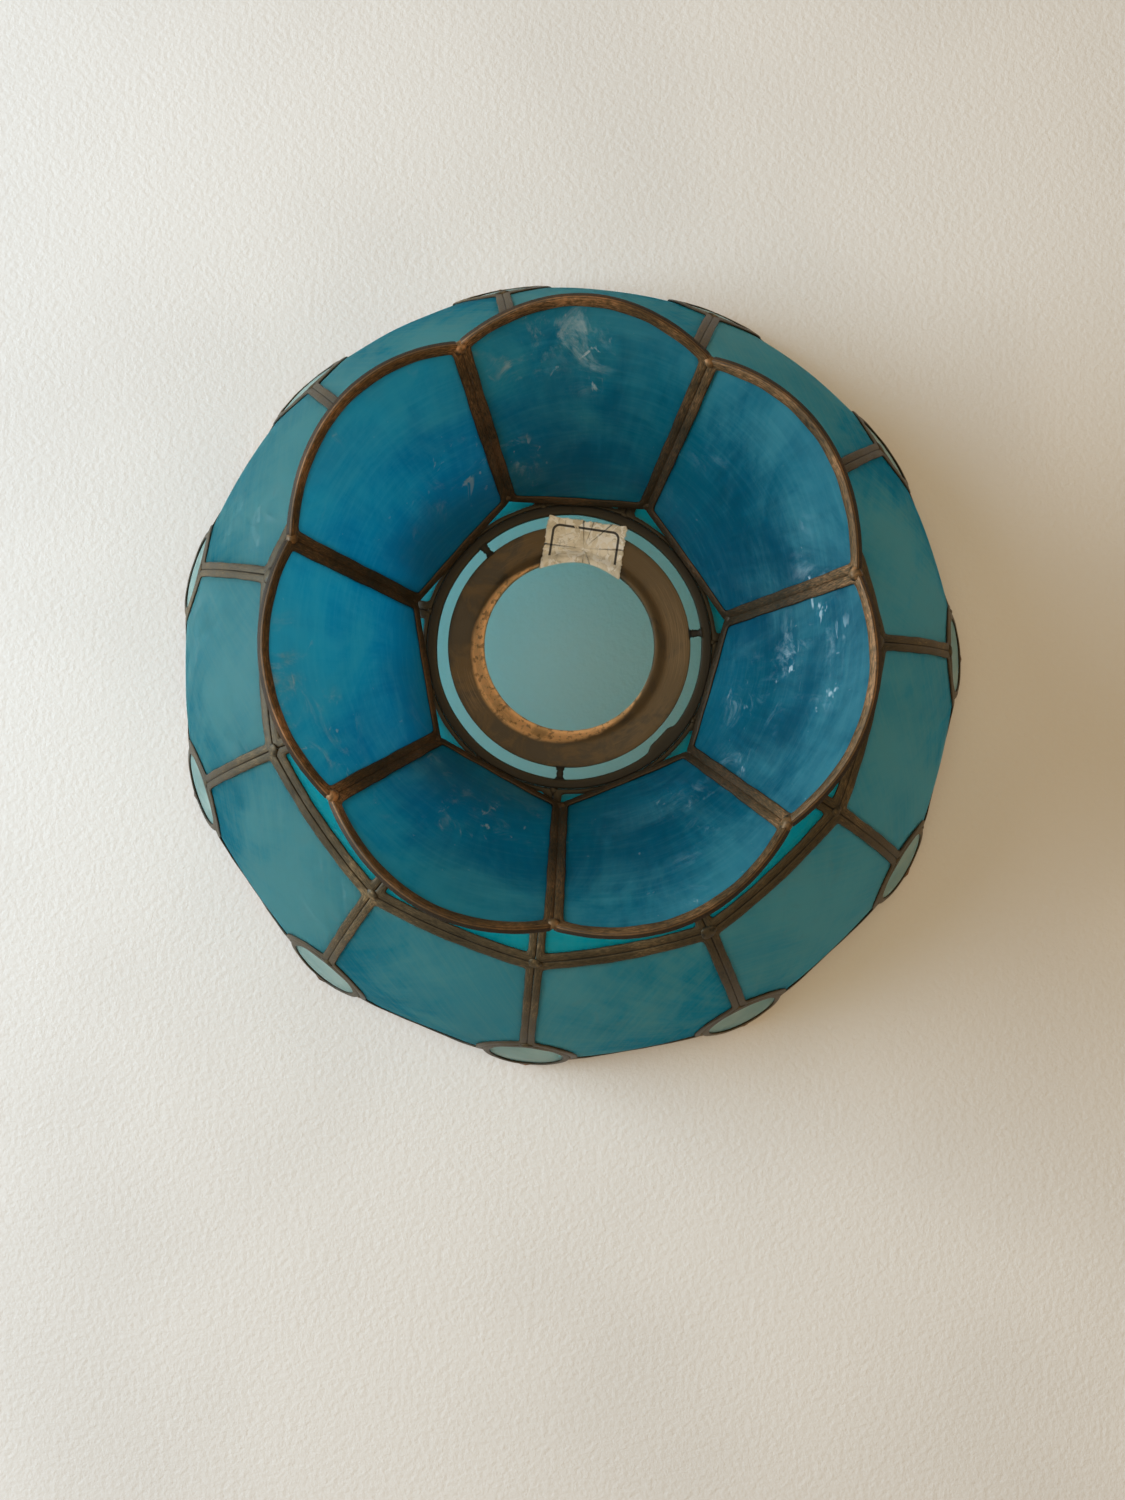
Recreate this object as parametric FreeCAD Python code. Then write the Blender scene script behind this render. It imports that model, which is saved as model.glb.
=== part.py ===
import FreeCAD, Part
import math
import os
from FreeCAD import Vector

# Capiz-shell lampshade: a dome of eleven cupped panels under a crown of seven flared petals.
# Every pane of dyed shell sits in its own folded bronze channel, and the channels are
# soldered side by side. Millimetres. +Z is up, and the origin is the middle of the open
# rim's lower face. Bearings run clockwise from +Y, seen from above.

os.makedirs("parts", exist_ok=True)

# ---- Sheet stock -------------------------------------------------------------------
PANE_THICKNESS = 0.8
CHANNEL_THICKNESS = 2.0
CHANNEL_WIDTH = 2.15
GROOVE_HEIGHT = 0.95
CHANNEL_WALL = 0.75
PANE_EDGE_PLAY = 0.1
SOLDER_GAP = 0.1

# ---- Dome: an odd count of sides, turned by eighths of a panel to centre its outline ----
PANEL_COUNT = 11
FIRST_STRUT_EIGHTHS = -3.0
NECK_HEIGHT = 70.0
RIM_RADIUS = 120.2
RIM_HEIGHT = 4.0
RIM_THICKNESS = 1.8
RIM_BOW = 0.8
BELLY_RISE = 5.585
LOWER_START = 0.574
SEAM_RADIUS = 80.6
SEAM_HEIGHT = 56.6
SEAM_BOW = 1.4
SHOULDER_CROWNING = 0.8
BELLY_CROWNING = 3.2
MEDALLION_RADIUS = 12.8
MEDALLION_BOW = 1.5
SCALLOP_RADIUS = 29.2
FILLER_MIDDLE_END = 7.0
FILLER_CORNER_END = 4.0

# ---- Fitter and neck: each width is counted outwards from the lampholder's bore ---------
FITTER_BORE = 21.0
FITTER_BORE_LENGTH = 1.8
FITTER_LIP_FLAT = 0.8
FITTER_LIP_SLOPE = 2.2
FITTER_LIP_RISE = 2.0
FITTER_WIDTH = 6.2
FITTER_THICKNESS = 0.8
TAB_LENGTH = 2.8
TAB_WIDTH = 1.6
TAB_BEARINGS = (-42.7, 81.8, 182.0)
NECK_RING_WIDTH = 2.4
NECK_RING_THICKNESS = 1.2
NECK_LAP_BEARING = 133.0
NECK_LAP_ANGLE = 14.0
NECK_LAP_STEP = 1.1

# ---- Crown -------------------------------------------------------------------------
PETAL_COUNT = 7
CROWN_BEARING = -24.6
CROWN_FOOT_STEP = 0.46
CROWN_FLARE = 23.4
CROWN_TIP_RISE = 42.9
PETAL_CROWNING = 5.0
PETAL_TIP_EXTENSION = 9.0

# ---- Paper label -------------------------------------------------------------------
LABEL_LENGTH = 19.8
LABEL_WIDTH = 13.0
LABEL_THICKNESS = 0.2
LABEL_FROM_BORE = 4.2
LABEL_BEARING = 7.9

# ---- Sizes that follow -------------------------------------------------------------
PANEL_HALF = math.pi / PANEL_COUNT
PETAL_HALF = math.pi / PETAL_COUNT
REACH = 2.0 * (RIM_RADIUS + CROWN_TIP_RISE)
PANE_EDGE = CHANNEL_WALL + PANE_EDGE_PLAY
FITTER_LIP_TOP = FITTER_BORE + FITTER_LIP_FLAT
FITTER_LIP_OUTER = FITTER_LIP_TOP + FITTER_LIP_SLOPE
FITTER_OUTER = FITTER_LIP_OUTER + FITTER_WIDTH
NECK_RING_INNER = FITTER_OUTER + TAB_LENGTH
NECK_RING_OUTER = NECK_RING_INNER + NECK_RING_WIDTH
NECK_RING_BOTTOM = NECK_HEIGHT - NECK_RING_THICKNESS
FITTER_BOTTOM = NECK_HEIGHT - FITTER_THICKNESS
RIM_SEAT = RIM_HEIGHT + SOLDER_GAP
PANEL_TURN = 360.0 / PANEL_COUNT
PETAL_TURN = 360.0 / PETAL_COUNT
FIRST_STRUT = PANEL_TURN * FIRST_STRUT_EIGHTHS / 8.0


def save(name, shapes):
    """Write one node, a single solid or a group of separate solids."""
    shape = shapes if isinstance(shapes, Part.Shape) else Part.makeCompound(shapes)
    shape.exportStep("parts/" + name + ".step")
    print(name, len(shape.Solids), round(shape.Volume, 2), shape.isValid())


def turned(shape, bearing):
    """Turn a piece built along +X to a bearing."""
    copy = shape.copy()
    copy.rotate(Vector(0, 0, 0), Vector(0, 0, 1), 90.0 - bearing)
    return copy


def one_solid(shape):
    """The solid of a cut that leaves a single piece."""
    return max(shape.Solids, key=lambda solid: solid.Volume)


def polygon_face(points):
    """A flat face with straight sides."""
    return Part.Face(Part.makePolygon(list(points) + [points[0]]))


def cylinder(radius, bottom=-REACH, height=2.0 * REACH, x=0.0):
    """An upright cylinder with its axis at (x, 0)."""
    return Part.makeCylinder(radius, height, Vector(x, 0, bottom))


def wedge(half_angle, inset):
    """The space between two upright planes through the axis, each moved in by an inset."""
    apex = inset / math.sin(half_angle)
    far = apex + REACH
    side = REACH * math.tan(half_angle)
    corners = [Vector(apex, 0, -REACH), Vector(far, side, -REACH), Vector(far, -side, -REACH)]
    return polygon_face(corners).extrude(Vector(0, 0, 2.0 * REACH))


def slab(middle, normal, thickness):
    """A curved sheet: the middle surface, given by rows of points, thickened along a normal."""
    surface = Part.BSplineSurface()
    shift = normal * (-0.5 * thickness)
    surface.interpolate([[point + shift for point in row] for row in middle])
    return surface.toShape().extrude(normal * thickness)


def rows(place, s_reach, t_low, t_high, steps=12):
    """A grid of points of place(s, t), with s across a panel and t down or up its length."""
    grid = []
    for i in range(steps + 1):
        t = t_low + (t_high - t_low) * i / steps
        grid.append([place(s_reach * (2.0 * j / steps - 1.0), t) for j in range(steps + 1)])
    return grid


def framed_pane(middle, normal, region):
    """A pane and the grooved channel round it; region(d) is the outline moved in by d."""
    pane = slab(middle, normal, PANE_THICKNESS).common(region(PANE_EDGE))
    bar = slab(middle, normal, CHANNEL_THICKNESS).common(region(0.5 * SOLDER_GAP))
    bar = bar.cut(region(CHANNEL_WIDTH))
    groove = slab(middle, normal, GROOVE_HEIGHT).common(region(CHANNEL_WALL))
    return one_solid(pane), one_solid(bar.cut(groove))


# ---- Dome section: a round arc from the seam to the rim --------------------------------
def arc_through(a, b, c):
    """Centre, radius and end angles of the circle through three (r, z) points."""
    d = 2.0 * (a[0] * (b[1] - c[1]) + b[0] * (c[1] - a[1]) + c[0] * (a[1] - b[1]))
    squares = [p[0] ** 2 + p[1] ** 2 for p in (a, b, c)]
    x = (squares[0] * (b[1] - c[1]) + squares[1] * (c[1] - a[1]) + squares[2] * (a[1] - b[1])) / d
    z = (squares[0] * (c[0] - b[0]) + squares[1] * (a[0] - c[0]) + squares[2] * (b[0] - a[0])) / d
    radius = math.hypot(a[0] - x, a[1] - z)
    return (x, z), radius, math.atan2(a[1] - z, a[0] - x), math.atan2(c[1] - z, c[0] - x)


SEAM = (SEAM_RADIUS, SEAM_HEIGHT)
RIM = (RIM_RADIUS, 0.5 * RIM_HEIGHT)
BELLY_SLOPE = math.atan2(SEAM[1] - RIM[1], RIM[0] - SEAM[0])
BELLY_NORMAL = Vector(math.sin(BELLY_SLOPE), 0, math.cos(BELLY_SLOPE))
WAIST_R = 0.5 * (SEAM[0] + RIM[0]) + BELLY_RISE * BELLY_NORMAL.x
WAIST_Z = 0.5 * (SEAM[1] + RIM[1]) + BELLY_RISE * BELLY_NORMAL.z
BELLY_CENTRE, BELLY_ARC, BELLY_START, BELLY_END = arc_through(SEAM, (WAIST_R, WAIST_Z), RIM)


def strut_line(t):
    """Radius, height and outward normal of the belly struts, t = 0 at the seam, 1 at the rim."""
    angle = BELLY_START + (BELLY_END - BELLY_START) * t
    cosine = math.cos(angle)
    sine = math.sin(angle)
    return BELLY_CENTRE[0] + BELLY_ARC * cosine, BELLY_CENTRE[1] + BELLY_ARC * sine, cosine, sine


def belly_point(s, t):
    """Middle surface of a belly panel, s = -1 and 1 at its struts."""
    r, z, out, up = strut_line(t)
    bulge = (1.0 - s * s) * BELLY_CROWNING * max(0.0, 4.0 * t * (1.0 - t))
    bow = (1.0 - s * s) * (SEAM_BOW * (1.0 - t) + RIM_BOW * t)
    x = r * math.cos(PANEL_HALF) + bulge * out + bow
    return Vector(x, s * r * math.sin(PANEL_HALF), z + bulge * up)


LOWER_START_R, LOWER_START_Z = strut_line(LOWER_START)[:2]
LOWER_SLOPE = math.atan2(LOWER_START_Z - RIM[1], RIM[0] - LOWER_START_R)
LOWER_NORMAL = Vector(math.sin(LOWER_SLOPE), 0, math.cos(LOWER_SLOPE))
UP_SLOPE = Vector(-math.cos(LOWER_SLOPE), 0, math.sin(LOWER_SLOPE))

MEDALLION_TILT_DROP = 0.5 * CHANNEL_THICKNESS * math.cos(LOWER_SLOPE)
MEDALLION_HEIGHT = RIM_SEAT + MEDALLION_TILT_DROP + MEDALLION_RADIUS * math.sin(LOWER_SLOPE)


def strut_at_height(height):
    """The belly strut's t and radius at a height."""
    angle = math.asin((height - BELLY_CENTRE[1]) / BELLY_ARC)
    return (angle - BELLY_START) / (BELLY_END - BELLY_START), BELLY_CENTRE[0] + BELLY_ARC * math.cos(angle)


MEDALLION_T, MEDALLION_DISTANCE = strut_at_height(MEDALLION_HEIGHT)
RIM_SEAT_T, RIM_SEAT_RADIUS = strut_at_height(RIM_SEAT)
RIM_SEAT_MIDDLE = belly_point(0.0, RIM_SEAT_T)


def medallion_prism(radius):
    """The round outline of a medallion, through the dome, in the plane of +X."""
    middle = Vector(MEDALLION_DISTANCE, 0, MEDALLION_HEIGHT)
    start = middle - LOWER_NORMAL * (2.0 * MEDALLION_RADIUS)
    return Part.makeCylinder(radius, 4.0 * MEDALLION_RADIUS, start, LOWER_NORMAL)


def beside(shape):
    """A strut-centred shape, turned to both struts of the panel in the plane of +X."""
    pair = []
    for side in (-1, 1):
        copy = shape.copy()
        copy.rotate(Vector(0, 0, 0), Vector(0, 0, 1), side * math.degrees(PANEL_HALF))
        pair.append(copy)
    return pair


def below_scallop(inset):
    """The space under the round lower edge of a belly panel, from the rim up to its arc."""
    radius = SCALLOP_RADIUS - inset
    bottom = RIM_SEAT_MIDDLE + UP_SLOPE * inset
    centre = bottom + UP_SLOPE * radius
    side = 0.82 * radius
    drop = centre - UP_SLOPE * math.sqrt(radius ** 2 - side ** 2)
    across = Vector(0, 1, 0)
    left = drop - across * side
    right = drop + across * side
    far_left = left - across * REACH
    far_right = right + across * REACH
    down = UP_SLOPE * -REACH
    edges = [Part.Arc(left, bottom, right).toShape()]
    corners = [right, far_right, far_right + down, far_left + down, far_left, left]
    edges += [Part.makeLine(corners[i], corners[i + 1]) for i in range(len(corners) - 1)]
    face = Part.Face(Part.Wire(edges))
    face.translate(LOWER_NORMAL * -RIM_RADIUS)
    return face.extrude(LOWER_NORMAL * (2.0 * RIM_RADIUS))


SEAM_SIDE = SEAM_RADIUS * math.sin(PANEL_HALF)
SEAM_ARC = (SEAM_SIDE ** 2 + SEAM_BOW ** 2) / (2.0 * SEAM_BOW)
SEAM_ARC_X = SEAM_RADIUS * math.cos(PANEL_HALF) + SEAM_BOW - SEAM_ARC
BELOW_RIM_SEAT = cylinder(REACH, bottom=-REACH, height=REACH + RIM_SEAT)


def belly_region(inset):
    """Outline of a belly panel: seam, two struts, two medallions and the scallop."""
    shape = wedge(PANEL_HALF, inset).cut(cylinder(SEAM_ARC + inset, x=SEAM_ARC_X))
    shape = shape.cut(beside(medallion_prism(MEDALLION_RADIUS + 0.5 * SOLDER_GAP + inset)))
    return shape.cut(below_scallop(inset)).cut(BELOW_RIM_SEAT)


belly_middle = rows(belly_point, 1.12, -0.06, 1.06)
belly_pane, belly_channel = framed_pane(belly_middle, BELLY_NORMAL, belly_region)


# ---- Medallions over the struts, and the slivers of shell between them and the rim -----
def medallion_point(s, t):
    """Middle surface of a medallion, centred on the strut in the plane of +X."""
    r, z, out, up = strut_line(MEDALLION_T + t)
    return Vector(r - MEDALLION_BOW * s * s, s * MEDALLION_RADIUS, z)


def medallion_region(inset):
    """Outline of a medallion."""
    return medallion_prism(MEDALLION_RADIUS - inset)


MEDALLION_SPAN = 1.3 * MEDALLION_RADIUS / (BELLY_ARC * abs(BELLY_END - BELLY_START))
medallion_middle = rows(medallion_point, 1.3, -MEDALLION_SPAN, MEDALLION_SPAN)
medallion, medallion_channel = framed_pane(medallion_middle, LOWER_NORMAL, medallion_region)

filler_space = wedge(PANEL_HALF, FILLER_CORNER_END).common(below_scallop(-SOLDER_GAP))
filler_space = filler_space.cut(beside(medallion_prism(MEDALLION_RADIUS + SOLDER_GAP)))
filler_space = filler_space.cut(BELOW_RIM_SEAT)
middle_strip = Part.makeBox(REACH, 2.0 * FILLER_MIDDLE_END, REACH, Vector(0, -FILLER_MIDDLE_END, 0))
fillers = slab(belly_middle, BELLY_NORMAL, PANE_THICKNESS).common(filler_space).cut(middle_strip)

# ---- Shoulder: flatter panes from the neck ring down to the seam -----------------------
SHOULDER_INNER = NECK_RING_OUTER + 0.5 * SOLDER_GAP
SHOULDER_TOP = NECK_HEIGHT - 0.6 * CHANNEL_THICKNESS
SHOULDER_SLOPE = math.atan2(SHOULDER_TOP - SEAM_HEIGHT, SEAM_RADIUS - SHOULDER_INNER)
SHOULDER_NORMAL = Vector(math.sin(SHOULDER_SLOPE), 0, math.cos(SHOULDER_SLOPE))


def shoulder_point(s, t):
    """Middle surface of a shoulder panel, t = 0 at the neck ring and 1 at the seam."""
    r = SHOULDER_INNER + (SEAM_RADIUS - SHOULDER_INNER) * t
    z = SEAM_HEIGHT + (SEAM_RADIUS - r) * math.tan(SHOULDER_SLOPE)
    bulge = (1.0 - s * s) * SHOULDER_CROWNING * max(0.0, 4.0 * t * (1.0 - t))
    bow = (1.0 - s * s) * SEAM_BOW * t
    x = r * math.cos(PANEL_HALF) + bow + bulge * SHOULDER_NORMAL.x
    return Vector(x, s * r * math.sin(PANEL_HALF), z + bulge * SHOULDER_NORMAL.z)


def shoulder_region(inset):
    """Outline of a shoulder panel: neck ring, two struts and the seam."""
    shape = wedge(PANEL_HALF, inset).common(cylinder(SEAM_ARC - inset, x=SEAM_ARC_X))
    return shape.cut(cylinder(SHOULDER_INNER + inset))


shoulder_middle = rows(shoulder_point, 1.15, -0.1, 1.1)
shoulder_pane, shoulder_channel = framed_pane(shoulder_middle, SHOULDER_NORMAL, shoulder_region)

# ---- Crown: petals that lean outwards and end in a round tip ----------------------------
CROWN_BASE_HEIGHT = NECK_HEIGHT + SOLDER_GAP
PETAL_FOOT = NECK_RING_OUTER + CROWN_FOOT_STEP
CROWN_BASE_RADIUS = PETAL_FOOT / math.cos(PETAL_HALF)
CROWN_TIP_RADIUS = CROWN_BASE_RADIUS + CROWN_FLARE
PETAL_RUN = (CROWN_TIP_RADIUS - CROWN_BASE_RADIUS) * math.cos(PETAL_HALF)
PETAL_LENGTH = math.hypot(PETAL_RUN, CROWN_TIP_RISE)
PETAL_UP = Vector(PETAL_RUN / PETAL_LENGTH, 0, CROWN_TIP_RISE / PETAL_LENGTH)
PETAL_NORMAL = Vector(PETAL_UP.z, 0, -PETAL_UP.x)
TIP_SIDE = CROWN_TIP_RADIUS * math.sin(PETAL_HALF)
TIP_RADIUS = (TIP_SIDE ** 2 + PETAL_TIP_EXTENSION ** 2) / (2.0 * PETAL_TIP_EXTENSION)


def petal_point(s, t):
    """Middle surface of a petal, t = 0 at the crown's base and 1 at the ends of its sides."""
    r = CROWN_BASE_RADIUS + (CROWN_TIP_RADIUS - CROWN_BASE_RADIUS) * t
    place = Vector(r * math.cos(PETAL_HALF), s * r * math.sin(PETAL_HALF), CROWN_BASE_HEIGHT + CROWN_TIP_RISE * t)
    return place + PETAL_NORMAL * (PETAL_CROWNING * (1.0 - s * s) * max(0.0, t))


def petal_region(inset):
    """Outline of a petal: level foot, two straight sides and a round tip."""
    foot = Vector(PETAL_FOOT, 0, CROWN_BASE_HEIGHT)
    middle = foot + PETAL_UP * (PETAL_LENGTH + PETAL_TIP_EXTENSION - TIP_RADIUS)
    tip = Part.makeCylinder(TIP_RADIUS - inset, REACH, middle - PETAL_NORMAL * (0.5 * REACH), PETAL_NORMAL)
    level = CROWN_BASE_HEIGHT + inset * PETAL_UP.z
    return wedge(PETAL_HALF, inset).common(tip).cut(cylinder(REACH, height=REACH + level))


petal_middle = rows(petal_point, 1.12, -0.08, 1.25)
petal, petal_channel = framed_pane(petal_middle, PETAL_NORMAL, petal_region)


# ---- Rim strip ----------------------------------------------------------------------
def rim_outline(radius):
    """The rim's eleven slightly bowed sides at a corner radius."""
    edges = []
    for k in range(PANEL_COUNT):
        ends = [2.0 * PANEL_HALF * (k + j) for j in (0.0, 0.5, 1.0)]
        reach = [radius, radius * math.cos(PANEL_HALF) + RIM_BOW, radius]
        points = [Vector(r * math.sin(a), r * math.cos(a), 0) for r, a in zip(reach, ends)]
        edges.append(Part.Arc(*points).toShape())
    return Part.Face(Part.Wire(edges))


rim_half = 0.5 * RIM_THICKNESS / math.cos(PANEL_HALF)
rim_face = rim_outline(RIM_RADIUS + rim_half).cut(rim_outline(RIM_RADIUS - rim_half))
rim_ring = turned(rim_face.extrude(Vector(0, 0, RIM_HEIGHT)), 90.0 + FIRST_STRUT)

# ---- Neck ring with its lapped joint -------------------------------------------------
neck_ring = cylinder(NECK_RING_OUTER, NECK_RING_BOTTOM, NECK_RING_THICKNESS)
lap = cylinder(NECK_RING_INNER, NECK_RING_BOTTOM, NECK_RING_THICKNESS)
lap = lap.cut(cylinder(NECK_RING_INNER - NECK_LAP_STEP, NECK_RING_BOTTOM, NECK_RING_THICKNESS))
lap = lap.common(turned(wedge(math.radians(0.5 * NECK_LAP_ANGLE), 0.0), NECK_LAP_BEARING))
neck_ring = one_solid(neck_ring.cut(cylinder(NECK_RING_INNER)).fuse(lap).removeSplitter())

# ---- Fitter ring: a washer with a raised lip round the lampholder hole ---------------
lip_height = NECK_HEIGHT + FITTER_LIP_RISE
fitter_section = [
    (FITTER_OUTER, FITTER_BOTTOM),
    (FITTER_OUTER, NECK_HEIGHT),
    (FITTER_LIP_OUTER, NECK_HEIGHT),
    (FITTER_LIP_TOP, lip_height),
    (FITTER_BORE, lip_height),
    (FITTER_BORE, lip_height - FITTER_BORE_LENGTH),
    (FITTER_LIP_OUTER - 0.5 * FITTER_THICKNESS, FITTER_BOTTOM),
]
fitter_face = polygon_face([Vector(r, 0, z) for r, z in fitter_section])
fitter_ring = one_solid(fitter_face.revolve(Vector(0, 0, 0), Vector(0, 0, 1), 360))

tabs = []
for bearing in TAB_BEARINGS:
    tab = Part.makeBox(NECK_RING_OUTER, TAB_WIDTH, FITTER_THICKNESS, Vector(0, -0.5 * TAB_WIDTH, FITTER_BOTTOM))
    tab = tab.common(cylinder(NECK_RING_INNER - 0.5 * SOLDER_GAP))
    tabs.append(turned(one_solid(tab.cut(cylinder(FITTER_OUTER + 0.5 * SOLDER_GAP))), bearing))

# ---- Paper label, stuck over the washer and the lip ------------------------------------
label_low = NECK_HEIGHT + 0.5 * SOLDER_GAP
label_high = lip_height + 0.5 * SOLDER_GAP
label_radius = FITTER_BORE + LABEL_FROM_BORE
label_inner = label_radius - LABEL_WIDTH
label_outer = label_radius + LABEL_WIDTH
label_top = [(label_outer, label_low), (FITTER_LIP_OUTER, label_low), (FITTER_LIP_TOP, label_high), (label_inner, label_high)]
label_section = label_top + [(r, z + LABEL_THICKNESS) for r, z in reversed(label_top)]
label_face = polygon_face([Vector(r, 0, z) for r, z in label_section])
label_sheet = label_face.revolve(Vector(0, 0, 0), Vector(0, 0, 1), 360)
label_cut = Part.makeBox(
    LABEL_WIDTH, LABEL_LENGTH, REACH, Vector(label_radius - 0.5 * LABEL_WIDTH, -0.5 * LABEL_LENGTH, 0)
)
label_cut = label_cut.common(cylinder(NECK_RING_INNER - SOLDER_GAP)).cut(cylinder(FITTER_BORE + SOLDER_GAP))
paper_label = turned(one_solid(label_sheet.common(label_cut)), LABEL_BEARING)

# ---- Write the nodes ---------------------------------------------------------------
panel_bearings = [FIRST_STRUT + PANEL_TURN * (k + 0.5) for k in range(PANEL_COUNT)]
strut_bearings = [FIRST_STRUT + PANEL_TURN * k for k in range(PANEL_COUNT)]
petal_bearings = [CROWN_BEARING + PETAL_TURN * (k + 0.5) for k in range(PETAL_COUNT)]

for k, bearing in enumerate(petal_bearings, 1):
    save("crown_petal_%d" % k, turned(petal, bearing))
    save("crown_channel_%d" % k, turned(petal_channel, bearing))
for k, bearing in enumerate(panel_bearings, 1):
    save("shoulder_pane_%d" % k, turned(shoulder_pane, bearing))
    save("belly_pane_%d" % k, turned(belly_pane, bearing))
for k, bearing in enumerate(strut_bearings, 1):
    save("medallion_%d" % k, turned(medallion, bearing))
save("shoulder_channels", [turned(shoulder_channel, bearing) for bearing in panel_bearings])
save("belly_channels", [turned(belly_channel, bearing) for bearing in panel_bearings])
save("medallion_channels", [turned(medallion_channel, bearing) for bearing in strut_bearings])
save("filler_panes", [solid for bearing in panel_bearings for solid in turned(fillers, bearing).Solids])
save("rim_ring", one_solid(rim_ring))
save("neck_ring", neck_ring)
save("fitter_ring", fitter_ring)
save("fitter_tabs", tabs)
save("paper_label", paper_label)
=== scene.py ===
import math

import bmesh
import bpy
import numpy as np
from mathutils import Matrix


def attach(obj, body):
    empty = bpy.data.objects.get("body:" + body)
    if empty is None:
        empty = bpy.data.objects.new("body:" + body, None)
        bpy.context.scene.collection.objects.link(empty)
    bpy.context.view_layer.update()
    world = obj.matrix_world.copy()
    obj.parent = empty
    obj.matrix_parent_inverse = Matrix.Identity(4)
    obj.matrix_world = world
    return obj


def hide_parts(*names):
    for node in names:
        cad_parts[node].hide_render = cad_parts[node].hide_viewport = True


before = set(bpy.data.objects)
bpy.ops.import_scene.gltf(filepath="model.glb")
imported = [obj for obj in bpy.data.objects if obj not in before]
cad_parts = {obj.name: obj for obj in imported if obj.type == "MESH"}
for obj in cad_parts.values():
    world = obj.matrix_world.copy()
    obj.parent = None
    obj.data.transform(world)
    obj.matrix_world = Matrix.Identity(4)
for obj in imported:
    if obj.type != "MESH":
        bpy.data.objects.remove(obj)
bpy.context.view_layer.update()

# ---- Table, window light and where the shade is seen from -----------------------------
# The shade stands on its rim on a matt white table. One large window lies to its left, and
# the room's walls return a weak warm light. It is seen from above, at arm's length.
NECK_HEIGHT = 0.070
VIEW_TURN = math.radians(-2.17)
EYE_RIGHT = -0.0011
EYE_BACK = -0.0336
EYE_HEIGHT = 0.350
LOOK_RIGHT = -0.002
LOOK_UP = 0.0279
LENS = 27.07
SENSOR = 36.0

image_up = np.array([math.sin(VIEW_TURN), math.cos(VIEW_TURN), 0.0])
image_right = np.array([math.cos(VIEW_TURN), -math.sin(VIEW_TURN), 0.0])
overhead = np.array([0.0, 0.0, 1.0])


def unit(vectors):
    """Vectors at length one."""
    return vectors / np.linalg.norm(vectors, axis=-1, keepdims=True)


def facing(place, look, up):
    """A placing that looks along a direction."""
    back = unit(-look)
    across = unit(np.cross(up, back))
    placing = Matrix(np.stack([across, np.cross(back, across), back], axis=1).tolist()).to_4x4()
    placing.translation = place
    return placing


eye = image_right * EYE_RIGHT + image_up * EYE_BACK + overhead * EYE_HEIGHT
look = image_right * LOOK_RIGHT + image_up * LOOK_UP - overhead
lens = bpy.data.cameras.new("camera")
lens.lens = LENS
lens.sensor_width = SENSOR
lens.clip_start = 0.01
camera = bpy.data.objects.new("camera", lens)
camera.matrix_world = facing(eye, look, image_up)
bpy.context.scene.collection.objects.link(camera)
bpy.context.scene.camera = camera

WINDOW_PLACE = (-1.05, 0.10, 0.52)
WINDOW_WIDTH = 0.9
WINDOW_HEIGHT = 0.7
WINDOW_WATTS = 18.9
WINDOW_COLOUR = (0.66, 0.84, 1.0)
ROOM_COLOUR = (1.0, 0.75, 0.46, 1.0)
ROOM_LIGHT = 0.215
CEILING_HEIGHT = 1.3
CEILING_SIDE = 1.6
CEILING_WATTS = 8.5
CEILING_COLOUR = (1.0, 0.77, 0.49)


def soft_light(name, place, up, width, height, watts, colour):
    """A rectangle of light that faces the shade."""
    light = bpy.data.lights.new(name, "AREA")
    light.shape = "RECTANGLE"
    light.size = width
    light.size_y = height
    light.energy = watts
    light.color = colour
    lamp = bpy.data.objects.new(name, light)
    lamp.matrix_world = facing(place, -np.array(place), up)
    bpy.context.scene.collection.objects.link(lamp)


soft_light("window", WINDOW_PLACE, overhead, WINDOW_WIDTH, WINDOW_HEIGHT, WINDOW_WATTS, WINDOW_COLOUR)
ceiling_place = (0.0, 0.0, CEILING_HEIGHT)
soft_light("ceiling", ceiling_place, image_up, CEILING_SIDE, CEILING_SIDE, CEILING_WATTS, CEILING_COLOUR)

world = bpy.data.worlds.new("room")
world.use_nodes = True
world.node_tree.nodes["Background"].inputs["Color"].default_value = ROOM_COLOUR
world.node_tree.nodes["Background"].inputs["Strength"].default_value = ROOM_LIGHT
bpy.context.scene.world = world
bpy.context.scene.view_settings.view_transform = "Standard"


class Signal:
    """A value in a finish. Sums, products and powers of signals add Math nodes."""

    def __init__(self, finish, socket):
        self.finish = finish
        self.socket = socket

    def maths(self, operation, first, second):
        return self.finish.node("Math", {"operation": operation}, {0: first, 1: second})

    def __add__(self, other):
        return self.maths("ADD", self, other)

    def __sub__(self, other):
        return self.maths("SUBTRACT", self, other)

    def __rsub__(self, other):
        return self.maths("SUBTRACT", other, self)

    def __mul__(self, other):
        return self.maths("MULTIPLY", self, other)

    def __pow__(self, other):
        return self.maths("POWER", self, other)

    def __abs__(self):
        return self.finish.node("Math", {"operation": "ABSOLUTE"}, {0: self})

    __radd__ = __add__
    __rmul__ = __mul__


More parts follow.
